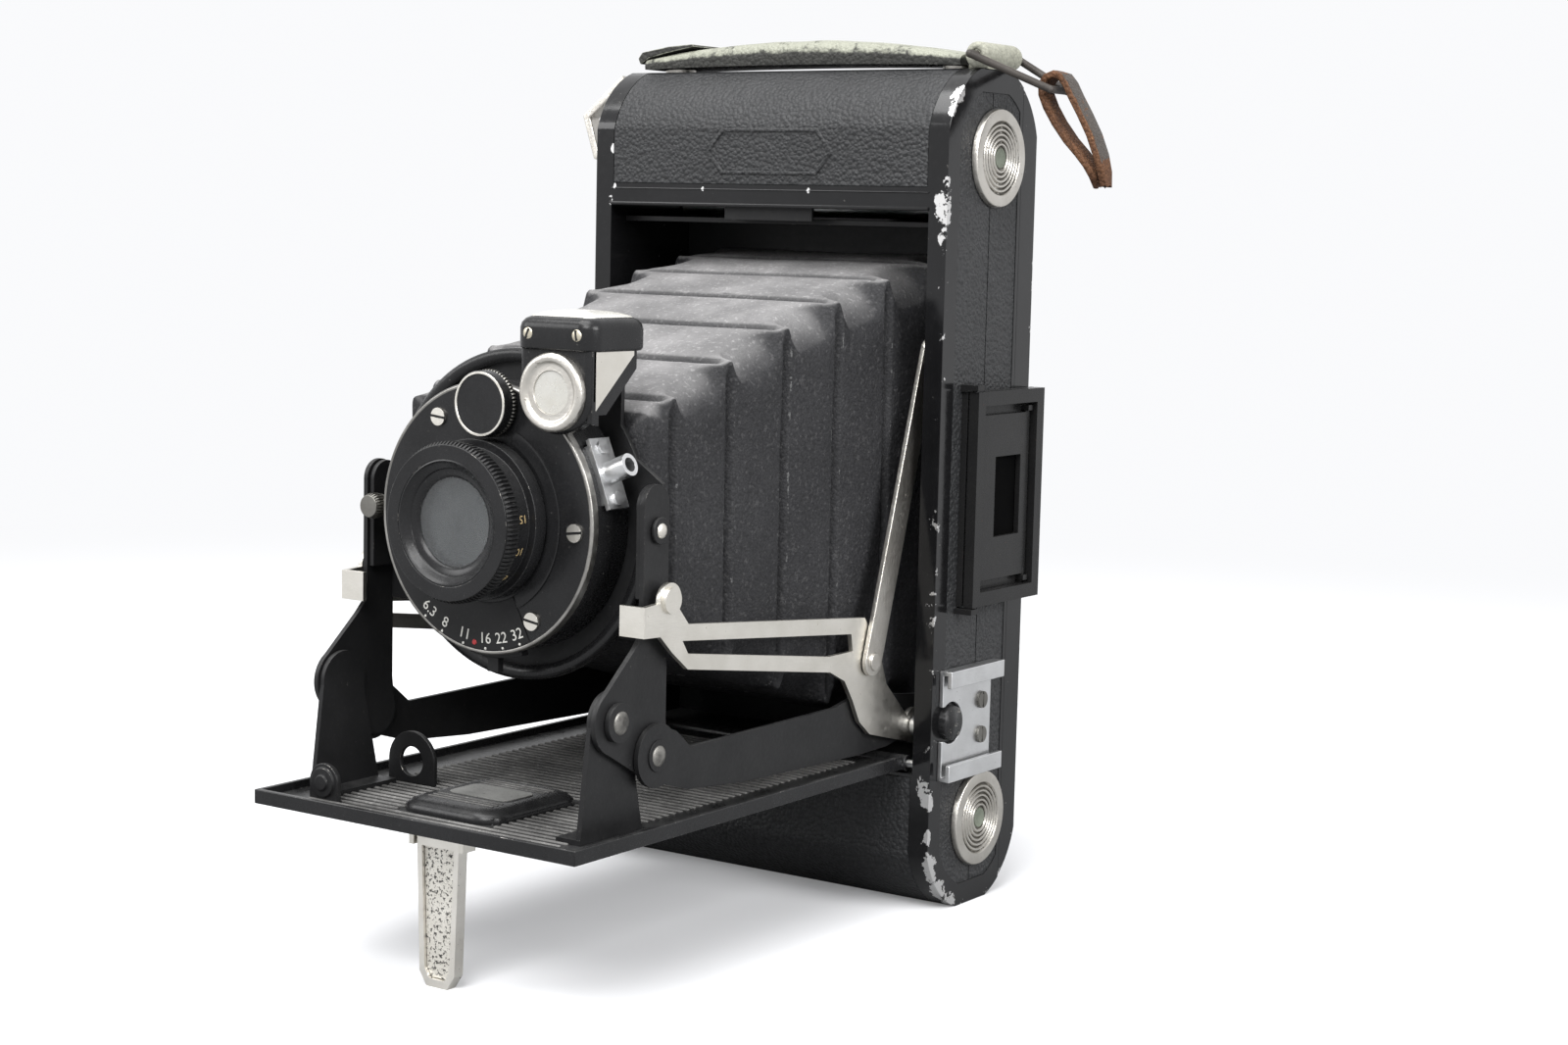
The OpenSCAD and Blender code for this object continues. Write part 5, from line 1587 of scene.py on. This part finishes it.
@dataclass
class ShutterAndLens(SubAssembly):
    """Lens board, shutter, focus ring, glass and levers."""

    title: str = "shutter and lens"
    dial: tuple[float, float] = (1.5, 96.4)
    face_rim: Profile = ((22.1, 78.7), (22.35, 78.78), (22.6, 78.66), (22.74, 78.4), (22.74, 77.2),
                         (22.5, 77.1), (22.1, 77.3))
    dial_drum: Profile = ((POLE, 82.0), (4.75, 82.0), (4.85, 82.1), (5.3, 82.1), (5.45, 81.9),
                          (5.45, 80.2), (5.2, 80.0), (POLE, 80.0))
    dial_ring: Profile = ((4.88, 82.08), (4.95, 82.2), (5.25, 82.2), (5.33, 82.05))
    scale_plate: Profile = ((13.9, 78.6), (13.9, 78.8), (14.1, 78.88), (21.7, 78.88), (21.9, 78.8),
                            (21.9, 78.6))
    scale_span: tuple[float, float] = (-152.0, -63.0)
    face_step: Profile = ((13.9, 78.6), (13.9, 79.0), (14.0, 79.1), (15.9, 79.1), (16.1, 79.0),
                          (16.1, 78.6))
    step_span: tuple[float, float] = (-62.0, 66.0)
    lens_cone: Profile = ((10.4, 88.3), (10.15, 88.38), (9.7, 87.75), (9.0, 87.45), (8.75, 87.0),
                          (7.9, 86.85), (7.6, 86.4), (7.35, 86.25), (10.4, 85.9))
    board_lip: Profile = ((25.6, 70.2), (26.3, 70.7), (27.3, 70.8), (27.9, 70.3), (28.0, 69.2),
                          (27.6, 68.4), (25.6, 68.3))
    lip_span: tuple[float, float] = (82.0, 352.0)
    screw_turns: tuple[float, ...] = (122.0, -2.4, -57.0)
    screw_r: float = 19.2
    screw_f: float = 78.94
    apertures: tuple[tuple[str, float], ...] = (("6.3", -126.0), ("8", -114.5), ("11", -101.5),
                                                ("16", -88.5), ("22", -78.5), ("32", -68.5))
    figure_r: float = 20.0
    figure_f: float = 78.9
    figure_high: float = 2.6
    tick_r: float = 21.65
    tick: Profile = ((POLE, 78.84), (POLE, 78.94), (0.2, 78.94), (0.24, 78.84))
    mark_r: float = 20.9
    mark_turn: float = -95.0
    mark: Profile = ((POLE, 78.84), (POLE, 79.0), (0.4, 78.99), (0.5, 78.84))
    distances: tuple[str, ...] = ("1.5", "2", "3", "4", "6", "10", "15")
    distance_turn: float = -150.0
    distance_pitch: float = 26.0
    distance_r: float = 12.02
    distance_f: float = 83.2
    distance_high: float = 1.9

    def build(self) -> None:
        """Make and dress the pieces."""
        self.carry("lens_board", BLACK_METAL)
        self.carry("shutter_case", BLACK_GLOSS, 0.25)
        self.carry("shutter_face", BLACK_GLOSS, 0.2)
        self.carry("face_screws", NICKEL, 0.04)
        self.carry("cable_socket", STEEL, 0.12)
        self.carry("rear_cell", BLACK_METAL)
        self.carry("rear_lens", LENS_GLASS, 0.1)
        self.carry("iris_blades", BLACK_METAL, 0.0)
        self.carry("focus_ring", BLACK_GLOSS)
        self.carry("front_lens", LENS_GLASS, 0.1)
        self.carry("speed_dial", BLACK_GLOSS)
        self.carry("aperture_lever", BLACK_METAL, 0.12)
        self.carry("release_lever", DARK_STEEL)
        self.figures()
        self.distance_figures()
        self.knurl()
        self.rims()

    def on_face(self, r: float, turn: float) -> tuple[float, float]:
        """Place on the shutter's face, x and z, at a radius and a turn in degrees."""
        return r * math.cos(math.radians(turn)), LENS_Z + r * math.sin(math.radians(turn))

    def rims(self) -> None:
        """Rims, steps and cones round the lens and the speed dial, and dark bars of painted shade for the
        slots of the face's screws.
        """
        self.settle(lathed("face_rim", self.face_rim, 0.0, LENS_Z, 144), "front", FACE_RIM, "nickel")
        drum = lathed("dial_drum", self.dial_drum, *self.dial)
        self.settle(drum, "speed_dial", BLACK_GLOSS, "black_metal")
        self.settle(lathed("dial_ring", self.dial_ring, *self.dial), "speed_dial", NICKEL, "nickel")
        scale = ring_arc("scale_plate", self.scale_plate, self.scale_span)
        self.settle(scale, "front", BLACK_METAL, "black_metal")
        step = ring_arc("face_step", self.face_step, self.step_span)
        self.settle(step, "front", BLACK_GLOSS, "black_metal")
        self.settle(lathed("lens_cone", self.lens_cone, 0.0, LENS_Z), "focus", BLACK_GLOSS, "black_metal")
        lip = ring_arc("board_lip", self.board_lip, self.lip_span)
        self.settle(lip, "front", BLACK_GLOSS, "black_metal")
        # Painted shade: raised dark bars stand for the shaded slots of the face's screws.
        bars = []
        for turn in self.screw_turns:
            x, z = self.on_face(self.screw_r, turn)
            bars.append(slot_shade_bar(f"slot_{turn}", at(x, self.screw_f, z), -3.0 * turn, 1.45, 0.24))
        self.settle(joined("screw_slots", bars), "front", BLACK_METAL, "black_metal")

    def figures(self) -> None:
        """Aperture figures, their ticks and the red mark on the face."""
        centre = at(0.0, self.figure_f, LENS_Z)
        piece = ring_figures("aperture_figures", self.apertures, centre, self.figure_r, self.figure_high)
        self.settle(piece, "front", WHITE_PAINT, "black_metal")
        dots = [lathed(f"tick_{words}", self.tick, *self.on_face(self.tick_r, turn), 12)
                for words, turn in self.apertures]
        self.settle(joined("aperture_ticks", dots), "front", WHITE_PAINT, "black_metal")
        dot = lathed("aperture_mark", self.mark, *self.on_face(self.mark_r, self.mark_turn), 20)
        self.settle(dot, "front", RED_PAINT, "black_metal")

    def distance_figures(self) -> None:
        """Distances round the focus ring."""
        parts = []
        for i, words in enumerate(self.distances):
            part = figure_mesh(f"distance_{i}", words, self.distance_high)
            turn = math.radians(self.distance_turn + self.distance_pitch * i)
            way = Vector((math.cos(turn), 0.0, math.sin(turn)))
            up = Vector((math.sin(turn), 0.0, -math.cos(turn)))
            place = Matrix((FORWARD, up, way)).transposed().to_4x4()
            spot = at(0.0, self.distance_f, LENS_Z) + way * self.distance_r * MM
            part.data.transform(Matrix.Translation(spot) @ place)
            parts.append(part)
        self.settle(outward(joined("distance_figures", parts)), "focus", GOLD_PAINT, "black_metal")

    def knurl(self) -> None:
        """Teeth round the focus ring, the speed dial and the release."""
        tree = knurl_tree()
        for name, node, finish, slot, centre, radius, count, length, width, height in (
                ("focus_knurl", "focus_ring", BLACK_METAL, "black_metal",
                 (0.0, 86.6, LENS_Z), 12.8, 110, 2.9, 0.44, 0.5),
                ("dial_knurl", "speed_dial", DARK_STEEL, "black_metal",
                 (self.dial[0], 79.6, self.dial[1]), 5.3, 56, 0.9, 0.35, 0.3),
                ("release_knurl", "release_lever", DARK_STEEL, "nickel",
                 (-25.8, 77.6, LENS_Z), 1.9, 26, 2.6, 0.3, 0.3)):
            spots = rim_spots(at(*centre), radius, count)
            teeth = tree.place(name, spots, finish, Length=length, Width=width, Height=height)
            self.settle(teeth, body_of(node), finish, slot)


@dataclass
class Finders(SubAssembly):
    """Reflecting finder on the board and frame finder on the side."""

    title: str = "finders"
    left: float = 9.25
    right: float = 23.95
    back_f: float = 66.85
    front_f: float = 81.4
    ring_x: float = 16.6
    ring_z: float = 99.1
    shell_top: float = 106.2
    shell_z: float = 97.9
    shell_drop: float = 5.6
    shell_steps: int = 24
    shell: Profile = ((0.0, 79.1), (0.0, 80.5), (0.2, 81.0), (0.6, 81.3), (1.2, 81.4))
    cap: Profile = ((1.0, 105.7), (0.3, 105.85), (0.0, 106.3), (0.0, 109.3), (0.2, 110.1), (0.7, 110.75),
                    (1.6, 111.2))
    dome: Profile = ((1.5, 111.0), (1.7, 111.3), (2.8, 111.7), (4.2, 112.0), (6.0, 112.2))
    wedge: Profile = ((79.2, 106.2), (79.2, 98.1), (78.9, 98.1), (70.3, 104.0), (70.3, 106.2))
    lens_ring: Profile = ((3.5, 82.15), (3.6, 82.32), (4.45, 82.26), (4.7, 82.3), (4.95, 82.62),
                          (5.25, 82.84), (5.9, 82.84), (6.3, 82.55), (6.4, 82.2), (6.4, 81.35),
                          (3.5, 81.35))
    plate: float = 0.12
    right_plate: Profile = ((80.1, 105.9), (80.1, 96.4), (70.3, 105.1), (70.3, 105.9))
    left_plate: Profile = ((80.1, 105.9), (80.1, 99.2), (71.0, 105.2), (71.0, 105.9))
    side_frame: Profile = ((80.9, 106.1), (80.9, 94.4), (79.1, 94.0), (79.1, 95.7), (77.2, 95.7),
                           (69.4, 102.9), (69.4, 106.1))
    screw_z: float = 108.4
    screws: Profile = ((11.6, 68.0), (21.6, 99.0))
    window_x: float = 41.14
    window: Profile = ((-26.2, 69.2), (-15.9, 69.2), (-15.9, 85.1), (-26.2, 85.1))

    def build(self) -> None:
        """Make and dress the pieces."""
        self.reflex()
        self.finder_screws()
        self.carry("reflex_glass", FINDER_GLASS, 0.2)
        for node, width in (("finder_base", 0.35), ("finder_frame", 0.8), ("finder_eyepiece", 0.35)):
            self.carry(node, FINDER_BLACK, width)
        # Near-black plate in the frame finder's window: painted shade for its dark inside.
        back = side_prism("finder_window_shade", self.window_x, self.window, 0.08, 0.0)
        self.settle(back, "body", WINDOW_SHADE, SLOTS["finder_base"])

    def level(self, inset: float, z: float, r: float) -> list[Vector]:
        """Rounded outline of the reflecting finder's cap at a height."""
        return rounded_rectangle((self.left - 0.7 + inset, self.right + 0.7 - inset),
                                 (self.back_f + inset, self.front_f + 0.8 - inset), z, r)

    def front_shell(self) -> Piece:
        """Front of the reflecting finder, round under its lens.

        Returns:
            The new object.
        """
        rows = []
        half = (self.right - self.left) / 2
        for inset, f in self.shell:
            w, drop = half - inset, self.shell_drop - inset
            turns = [-math.pi * i / self.shell_steps for i in range(self.shell_steps + 1)]
            round_end = [(w * math.cos(a), self.shell_z + drop * math.sin(a)) for a in turns]
            outline = [(w, self.shell_top), *round_end, (-w, self.shell_top)]
            rows.append([at(self.ring_x + x, f, z) for x, z in outline])
        return even_normals(outward(from_grid("finder_front", rows, True, True)), 50.0)

    def reflex(self) -> None:
        """Reflecting finder: block, cap, top glass, lens ring and plated sides."""
        rows = [self.level(inset, z, 2.8 - 0.4 * inset) for inset, z in self.cap]
        cap = even_normals(outward(from_grid("finder_cap", rows, True, True)), 50.0)
        wedge = side_prism("finder_wedge", self.left + 0.1, self.wedge, self.right - self.left - 0.2, 0.15)
        block = joined("reflex_finder_finish", [self.front_shell(), cap, wedge])
        self.stand_in(block, "reflex_finder", BLACK_GLOSS)
        dome = [self.level(inset, z, max(0.6, 2.2 - 0.3 * inset)) for inset, z in self.dome]
        top = even_normals(outward(from_grid("finder_top_glass", dome, True, True)), 60.0)
        self.settle(top, "reflex", FINDER_GLASS, SLOTS["reflex_glass"])
        ring = lathed("finder_lens_ring", self.lens_ring, self.ring_x, self.ring_z)
        self.settle(ring, "reflex", NICKEL_PITTED, "nickel")
        plates = [side_prism("finder_side_right", self.right, self.right_plate, self.plate, 0.03),
                  side_prism("finder_side_left", self.left - self.plate, self.left_plate, self.plate, 0.03)]
        self.settle(joined("finder_sides", plates), "reflex", NICKEL, "nickel")
        side = side_prism("finder_side_frame", self.right - 1.0, self.side_frame, 1.0, 0.12)
        self.settle(side, "reflex", BLACK_GLOSS, "black_metal")

    def finder_screws(self) -> None:
        """Two slotted screws in the cap of the reflecting finder, their slots dark bars of painted shade.
        """
        heads = [(at(x, self.front_f + 0.7, self.screw_z), FORWARD) for x, _ in self.screws]
        screws = rivet_tree().place("finder_screws", heads, SCREW_BRASS, Radius=1.0, Height=0.3)
        self.settle(screws, "reflex", SCREW_BRASS, "nickel")
        # Painted shade: raised dark bars stand for the shaded slots of the finder's screws.
        bars = [slot_shade_bar(f"finder_slot_{turn}", spot + way * (0.22 * MM), turn, 0.84, 0.17)
                for (spot, way), (_, turn) in zip(heads, self.screws)]
        self.settle(joined("finder_screw_slots", bars), "reflex", BLACK_METAL, "black_metal")


@dataclass
class Bellows(SubAssembly):
    """Tapered pleated bellows that packs against the film gate."""

    title: str = "bellows"
    back: float = -25.6
    front: float = 68.2
    first_groove: float = -13.5
    pitch: float = 15.1
    drop: float = 2.3
    groove: float = 0.085
    half_wide: float = 31.0
    half_high: float = 44.0
    skin: float = 0.6
    mouth_r: float = 14.6
    mouth_in: float = 0.5
    seed: int = 5
    shares: tuple[float, ...] = (0.0, 0.025, 0.05, 0.07, 0.085, 0.11, 0.16, 0.24, 0.34, 0.44, 0.56, 0.66,
                                 0.76, 0.84, 0.89, 0.915, 0.93, 0.95, 0.975)
    taper_wide: float = 5.5
    taper_high: float = 26.0
    corner: float = 7.4
    corner_taper: float = 2.6
    flat_steps: int = 16
    corner_steps: int = 7
    end_ease: float = 14.0
    crease_power: float = 1.3
    tuck_reach: float = 0.3
    crumple: tuple[tuple[float, float], ...] = ((45.0, 0.28), (240.0, 0.06))
    folded_y: float = 0.0096
    folded_share: float = 0.003
    ridge_reach: float = 0.04

    def share(self, f: float) -> float:
        """Place along one pleat, from 0 in a groove to 1 in the next."""
        return ((f - self.first_groove) / self.pitch) % 1.0

    def outline(self, f: float) -> list[Vector]:
        """One ring across the bellows.

        Args:
            f: Forward distance of the ring.

        Returns:
            Points of the ring in metres.
        """
        t = (f - self.back) / (self.front - self.back)
        share = self.share(f)
        away = min(share, 1.0 - share)
        ends = min(1.0, self.end_ease * min(t, 1.0 - t))
        low = max(0.0, 1.0 - away / self.groove) ** self.crease_power * self.drop * ends
        rise = min(1.0, away / self.tuck_reach)
        tuck = rise * rise * (3.0 - 2.0 * rise)
        w = self.half_wide - self.taper_wide * t - low * 0.7 + 0.25 * tuck
        h = self.half_high - self.taper_high * t ** 1.5 - low * 0.6 + 0.35 * tuck
        c = (self.corner - self.corner_taper * t) * (0.42 + 0.78 * tuck * ends)
        corners = [(w, c - h), (w, h - c), (w - c, h), (c - w, h), (-w, h - c), (-w, c - h), (c - w, -h),
                   (w - c, -h)]
        ring = []
        for k, (x0, z0) in enumerate(corners):
            x1, z1 = corners[(k + 1) % 8]
            slant = k % 2 == 1
            count = self.corner_steps if slant else self.flat_steps
            for i in range(count):
                u = i / count
                x, z = x0 + (x1 - x0) * u, z0 + (z1 - z0) * u
                if slant:
                    bulge = 1.6 * (1.0 - tuck) + 0.9 * low - 0.9 * tuck
                    out = HALF_ROOT * math.sin(math.pi * u) * bulge
                    x += math.copysign(out, x)
                    z += math.copysign(out, z)
                ring.append(at(x, f, LENS_Z + z))
        return ring

    def mouth(self) -> list[Vector]:
        """Inner edge of the closed front end, round the tube of the shutter.

        Returns:
            Points of the edge in metres.
        """
        centre = at(0.0, self.front - self.mouth_in, LENS_Z)
        ways = [Vector((p.x, 0.0, p.z - centre.z)).normalized() for p in self.outline(self.front)]
        return [centre + way * (self.mouth_r * MM) for way in ways]

    def stations(self) -> list[float]:
        """Forward distances of the rings, close together at the grooves.

        Returns:
            The distances in order.
        """
        first = math.floor((self.back - self.first_groove) / self.pitch)
        last = math.ceil((self.front - self.first_groove) / self.pitch)
        places = [self.first_groove + self.pitch * (k + u)
                  for k in range(first, last + 1) for u in self.shares]
        return [self.back, *(f for f in places if self.back + 0.2 < f < self.front - 0.2), self.front]

    def build(self) -> None:
        """Make and dress the pieces."""
        obj = from_grid("bellows_skin", [*(self.outline(f) for f in self.stations()), self.mouth()])
        noise.seed_set(self.seed)
        shake = Vector((self.seed, self.seed * 2, self.seed * 3))
        for v in obj.data.vertices:
            moves = [noise.noise_vector(v.co * scale + shake) * size for scale, size in self.crumple]
            v.co += (moves[0] + moves[1]) * MM
        outward(obj)
        solid = obj.modifiers.new("skin", "SOLIDIFY")
        solid.thickness = self.skin * MM
        solid.offset = -1.0
        flatten(obj)
        obj.data.shade_smooth()
        self.mark_ridges(obj)
        self.settle(obj, "body", BELLOWS_LEATHER, "bellows", "bellows")
        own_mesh(obj)

    def mark_ridges(self, obj: Piece) -> None:
        """Write how near each point is to the lip of a fold, for the rubbed folds.

        Args:
            obj: The bellows skin.
        """
        edge = obj.data.attributes.new("edge", "FLOAT", "POINT")
        for i, v in enumerate(obj.data.vertices):
            f = BODY_FRONT - v.co.y / MM
            share = self.share(f)
            away = abs(min(share, 1.0 - share) - self.groove)
            edge.data[i].value = max(0.0, 1.0 - away / self.ridge_reach)


@dataclass
class StrapAndThong(SubAssembly):
    """Carrying strap, its fittings, the wire loop and the torn thong."""

    title: str = "strap"
    strap_half: float = 36.0
    strap_low: float = 156.8
    strap_rise: float = 3.0
    strap_thick: float = 1.6
    strap_wave: float = 0.25
    strap_steps: int = 48
    strap_section: Profile = ((-6.4, 0.0), (6.4, 0.0), (6.5, 0.3), (6.4, 0.55), (6.0, 0.78), (5.0, 0.93),
                              (2.6, 1.0), (-2.6, 1.0), (-5.0, 0.93), (-6.0, 0.78), (-6.4, 0.55),
                              (-6.5, 0.3))
    fold_half: float = 6.0
    fold: Profile = ((-37.6, 157.2), (-38.2, 158.4), (-37.2, 159.6), (-31.0, 160.6), (-25.0, 161.0),
                     (-24.4, 160.5), (-31.0, 159.4), (-35.6, 158.4))
    roll_at: tuple[float, float] = (39.4, 158.0)
    roll: Profile = ((0.8, -10.4), (0.95, -9.7), (1.4, -9.45), (1.9, -9.5), (2.3, -9.9), (2.35, -10.6),
                     (2.35, -22.2), (1.9, -22.9), (0.8, -22.9))
    thong_y: float = 3.2
    thong_half: float = 2.2
    thong_thick: float = 1.4
    thong_ends: tuple[float, float, float] = (0.5, 0.85, 1.0)
    thong_section: Profile = ((-1.0, -0.6), (-0.85, -1.0), (0.0, -1.05), (0.85, -1.0), (1.0, -0.6),
                              (1.0, 0.6), (0.85, 1.0), (0.0, 1.1), (-0.85, 1.0), (-1.0, 0.6))
    thong_path: Profile = (
        (61.6, 134.9), (61.2, 137.2), (60.3, 140.4), (58.8, 144.0), (56.8, 147.6), (54.9, 150.7),
        (53.6, 153.0), (52.4, 154.4), (50.9, 154.8), (49.5, 154.3), (48.6, 153.0), (48.7, 151.3),
        (49.8, 148.9), (51.7, 146.0), (54.1, 143.0), (56.5, 140.6), (58.3, 138.6), (59.5, 136.6),
        (60.0, 135.0))

    def build(self) -> None:
        """Make and dress the pieces."""
        self.strap()
        self.carry("strap_posts", NICKEL, 0.2)
        self.carry("strap_barrel", BARREL, 0.3)
        roll = lathed("strap_roll", self.roll, *self.roll_at, 40)
        self.settle(roll, "body", BARREL, SLOTS["strap_barrel"])
        self.carry("wire_loop", LOOP_DARK, 0.0)
        self.thong()

    def strap(self) -> None:
        """Stiff strap, bowed on top and nearly straight below, its top rubbed pale."""
        bow = (self.strap_half ** 2 + self.strap_rise ** 2) / (2 * self.strap_rise)
        section = self.strap_section
        rows = []
        for i in range(self.strap_steps + 1):
            x = self.strap_half * (2 * i / self.strap_steps - 1)
            top = self.strap_low + self.strap_rise - bow + math.sqrt((bow + self.strap_thick) ** 2 - x * x)
            low = self.strap_low - 0.6 + 0.5 * (1 - (x / self.strap_half) ** 2)
            row = []
            for y, share in section:
                wave = noise.noise(Vector((x * 0.12, y * 0.1, 3.0))) * self.strap_wave
                row.append(Vector((x, y, low + (top - low + wave) * share)) * MM)
            rows.append(row)
        obj = from_grid("handle_strap_finish", rows, True, True)
        edge = obj.data.attributes.new("edge", "FLOAT", "POINT")
        for i in range(len(rows) * len(section)):
            edge.data[i].value = min(1.0, max(0.0, (section[i % len(section)][1] - 0.3) / 0.35))
        even_normals(outward(obj), 60.0)
        self.stand_in(obj, "handle_strap", STRAP)
        outline = [Vector((x, -self.fold_half, z)) * MM for x, z in self.fold]
        fold = prism("strap_fold", outline, FORWARD * (-2 * self.fold_half * MM), 0.3)
        self.settle(fold, "body", STRAP, SLOTS["handle_strap"])

    def thong(self) -> None:
        """Leather band looped over the wire, torn at its end."""
        path = [Vector((x, 0.0, z)) for x, z in self.thong_path]
        w, t = self.thong_half, self.thong_thick / 2
        section = [(u * w, v * t) for u, v in self.thong_section]
        rows = []
        last = len(path) - 1
        for i, spot in enumerate(path):
            along = (path[min(i + 1, last)] - path[max(i - 1, 0)]).normalized()
            out = Vector((along.z, 0.0, -along.x))
            from_end = min(i, last - i)
            narrow = self.thong_ends[min(from_end, 2)]
            row = []
            for u, v in section:
                rough = random.uniform(-0.5, 0.5) if from_end == 0 else random.uniform(-0.1, 0.1)
                p = spot + out * v + along * rough
                row.append(Vector((p.x, self.thong_y + u * narrow + rough * 0.3, p.z)) * MM)
            rows.append(row)
        obj = from_grid("leather_thong_finish", rows, True, True)
        edge = obj.data.attributes.new("edge", "FLOAT", "POINT")
        for i in range(len(path) * len(section)):
            near_end = min(i // len(section), last - i // len(section)) < 2
            edge.data[i].value = 1.0 if section[i % len(section)][1] > 0.9 * t and not near_end else 0.0
        even_normals(outward(obj), 70.0)
        self.stand_in(obj, "leather_thong", THONG)


# -------------------------------------------------------------------- studio

@dataclass
class Studio:
    """Pale sweep, soft lights and the camera of the photograph."""

    camera_at: tuple[float, float, float] = (0.2846, -0.4259, 0.1272)
    azimuth: float = 34.19
    elevation: float = 6.51
    roll: float = 1.36
    focal_px: float = 2694.0
    width_px: float = 1600.0
    ground: float = 0.0
    background: Colour = (0.955, 0.96, 0.975)
    world_level: float = 0.38
    floor_half: float = 6.0
    floor_pale: tuple[Colour, Colour] = ((0.86, 0.865, 0.88), (0.9, 0.905, 0.92))
    floor_bounce: Colour = (0.34, 0.345, 0.35)
    near_glow: float = 0.16
    glow_from: float = 0.18
    glow_to: float = 0.6
    target: tuple[float, float, float] = (0.0, -0.03, 0.08)
    lamps: tuple[tuple[str, tuple[float, float, float], float, float], ...] = (
        ("lamp_top", (-0.15, -0.25, 0.9), 0.7, 9.0), ("lamp_left", (-0.8, -0.7, 0.5), 0.5, 4.0),
        ("lamp_right", (0.9, -0.1, 0.5), 0.5, 9.0), ("lamp_front", (0.25, -0.75, 0.75), 0.5, 9.0))

    def build(self) -> None:
        """Set up camera, floor, world and lights."""
        self.camera()
        self.floor()
        self.world()
        self.lights()
        bpy.context.scene.view_settings.view_transform = "Standard"

    def camera(self) -> None:
        """Camera fitted to the photograph."""
        a, e, r = (math.radians(v) for v in (self.azimuth, self.elevation, self.roll))
        back = Vector((math.sin(a) * math.cos(e), -math.cos(a) * math.cos(e), math.sin(e)))
        right = UP.cross(back).normalized()
        up = back.cross(right)
        turned_right = right * math.cos(r) + up * math.sin(r)
        turned_up = up * math.cos(r) - right * math.sin(r)
        data = bpy.data.cameras.new("camera")
        data.sensor_fit = "HORIZONTAL"
        data.sensor_width = 36.0
        data.lens = self.focal_px * data.sensor_width / self.width_px
        data.clip_start = 0.01
        camera = bpy.data.objects.new("camera", data)
        bpy.context.scene.collection.objects.link(camera)
        turn = Matrix((turned_right, turned_up, back)).transposed().to_4x4()
        camera.matrix_world = Matrix.Translation(Vector(self.camera_at)) @ turn
        bpy.context.scene.camera = camera

    def seen(self, s: Sketch) -> Socket:
        """1 for rays that show the background itself.

        Args:
            s: Sketch of the floor's or the world's tree.

        Returns:
            The number's socket.
        """
        path = s.add("ShaderNodeLightPath").outputs
        first = s.math("ADD", path["Is Camera Ray"], path["Is Glossy Ray"], clamp=True)
        return s.math("ADD", first, path["Is Transmission Ray"], clamp=True)

    def floor(self) -> None:
        """A wide pale floor that keeps the shadow and fades into the background."""
        corners = [(u * self.floor_half, v * self.floor_half, self.ground)
                   for u, v in ((-1, -1), (1, -1), (1, 1), (-1, 1))]
        mesh = bpy.data.meshes.new("floor")
        mesh.from_pydata(corners, [], [(0, 1, 2, 3)])
        floor = new_object("floor", mesh)
        made = bpy.data.materials.new("floor_white")
        s = bare_tree(made)
        place = object_coords(s)
        pale = s.mix(s.ease(s.noise(place, 2.0), 0.2, 0.8), *self.floor_pale)
        direct = s.add("ShaderNodeLightPath").outputs["Is Camera Ray"]
        plain = s.add("ShaderNodeBsdfDiffuse", {"Color": s.mix(direct, self.floor_bounce, pale)})
        glow = s.add("ShaderNodeEmission", {"Color": (*self.background, 1.0), "Strength": 1.0})
        away = s.add("ShaderNodeVectorMath", {0: place}, operation="LENGTH").outputs["Value"]
        far = s.ease(away, self.glow_from, self.glow_to)
        near = s.math("MULTIPLY", direct, self.near_glow)
        share = s.math("MULTIPLY", self.seen(s), s.blend(far, near, 1.0))
        both = s.add("ShaderNodeMixShader", {0: share, 1: plain.outputs[0], 2: glow.outputs[0]})
        s.add("ShaderNodeOutputMaterial", {"Surface": both.outputs[0]})
        mesh.materials.append(made)

    def world(self) -> None:
        """White behind the object and a plain level of light."""
        world = bpy.data.worlds.new("studio")
        bpy.context.scene.world = world
        s = bare_tree(world)
        strength = s.blend(self.seen(s), self.world_level, 1.0)
        sky = s.add("ShaderNodeBackground", {"Color": (*self.background, 1.0), "Strength": strength})
        s.add("ShaderNodeOutputWorld", {"Surface": sky.outputs[0]})

    def lights(self) -> None:
        """Large soft lamps from above, left, right and high in front."""
        for name, spot, size, watts in self.lamps:
            data = bpy.data.lights.new(name, "AREA")
            data.size = size
            data.energy = watts
            lamp = bpy.data.objects.new(name, data)
            bpy.context.scene.collection.objects.link(lamp)
            lamp.location = spot
            aim = Vector(self.target) - Vector(spot)
            lamp.rotation_euler = aim.to_track_quat("-Z", "Y").to_euler()


def main() -> None:
    """Build the camera's sub-assemblies and the studio in order."""
    logging.basicConfig(level=logging.INFO, format="%(name)s: %(message)s")
    random.seed(7)
    Studio().build()
    for part in (BodyShell(), FilmChamber(), Bed(), Linkage(), ShutterAndLens(), Finders(), Bellows(),
                 StrapAndThong()):
        part.build()
        log.info("%s: %d pieces", part.title, len(part.made))


if __name__ == "__main__":
    main()
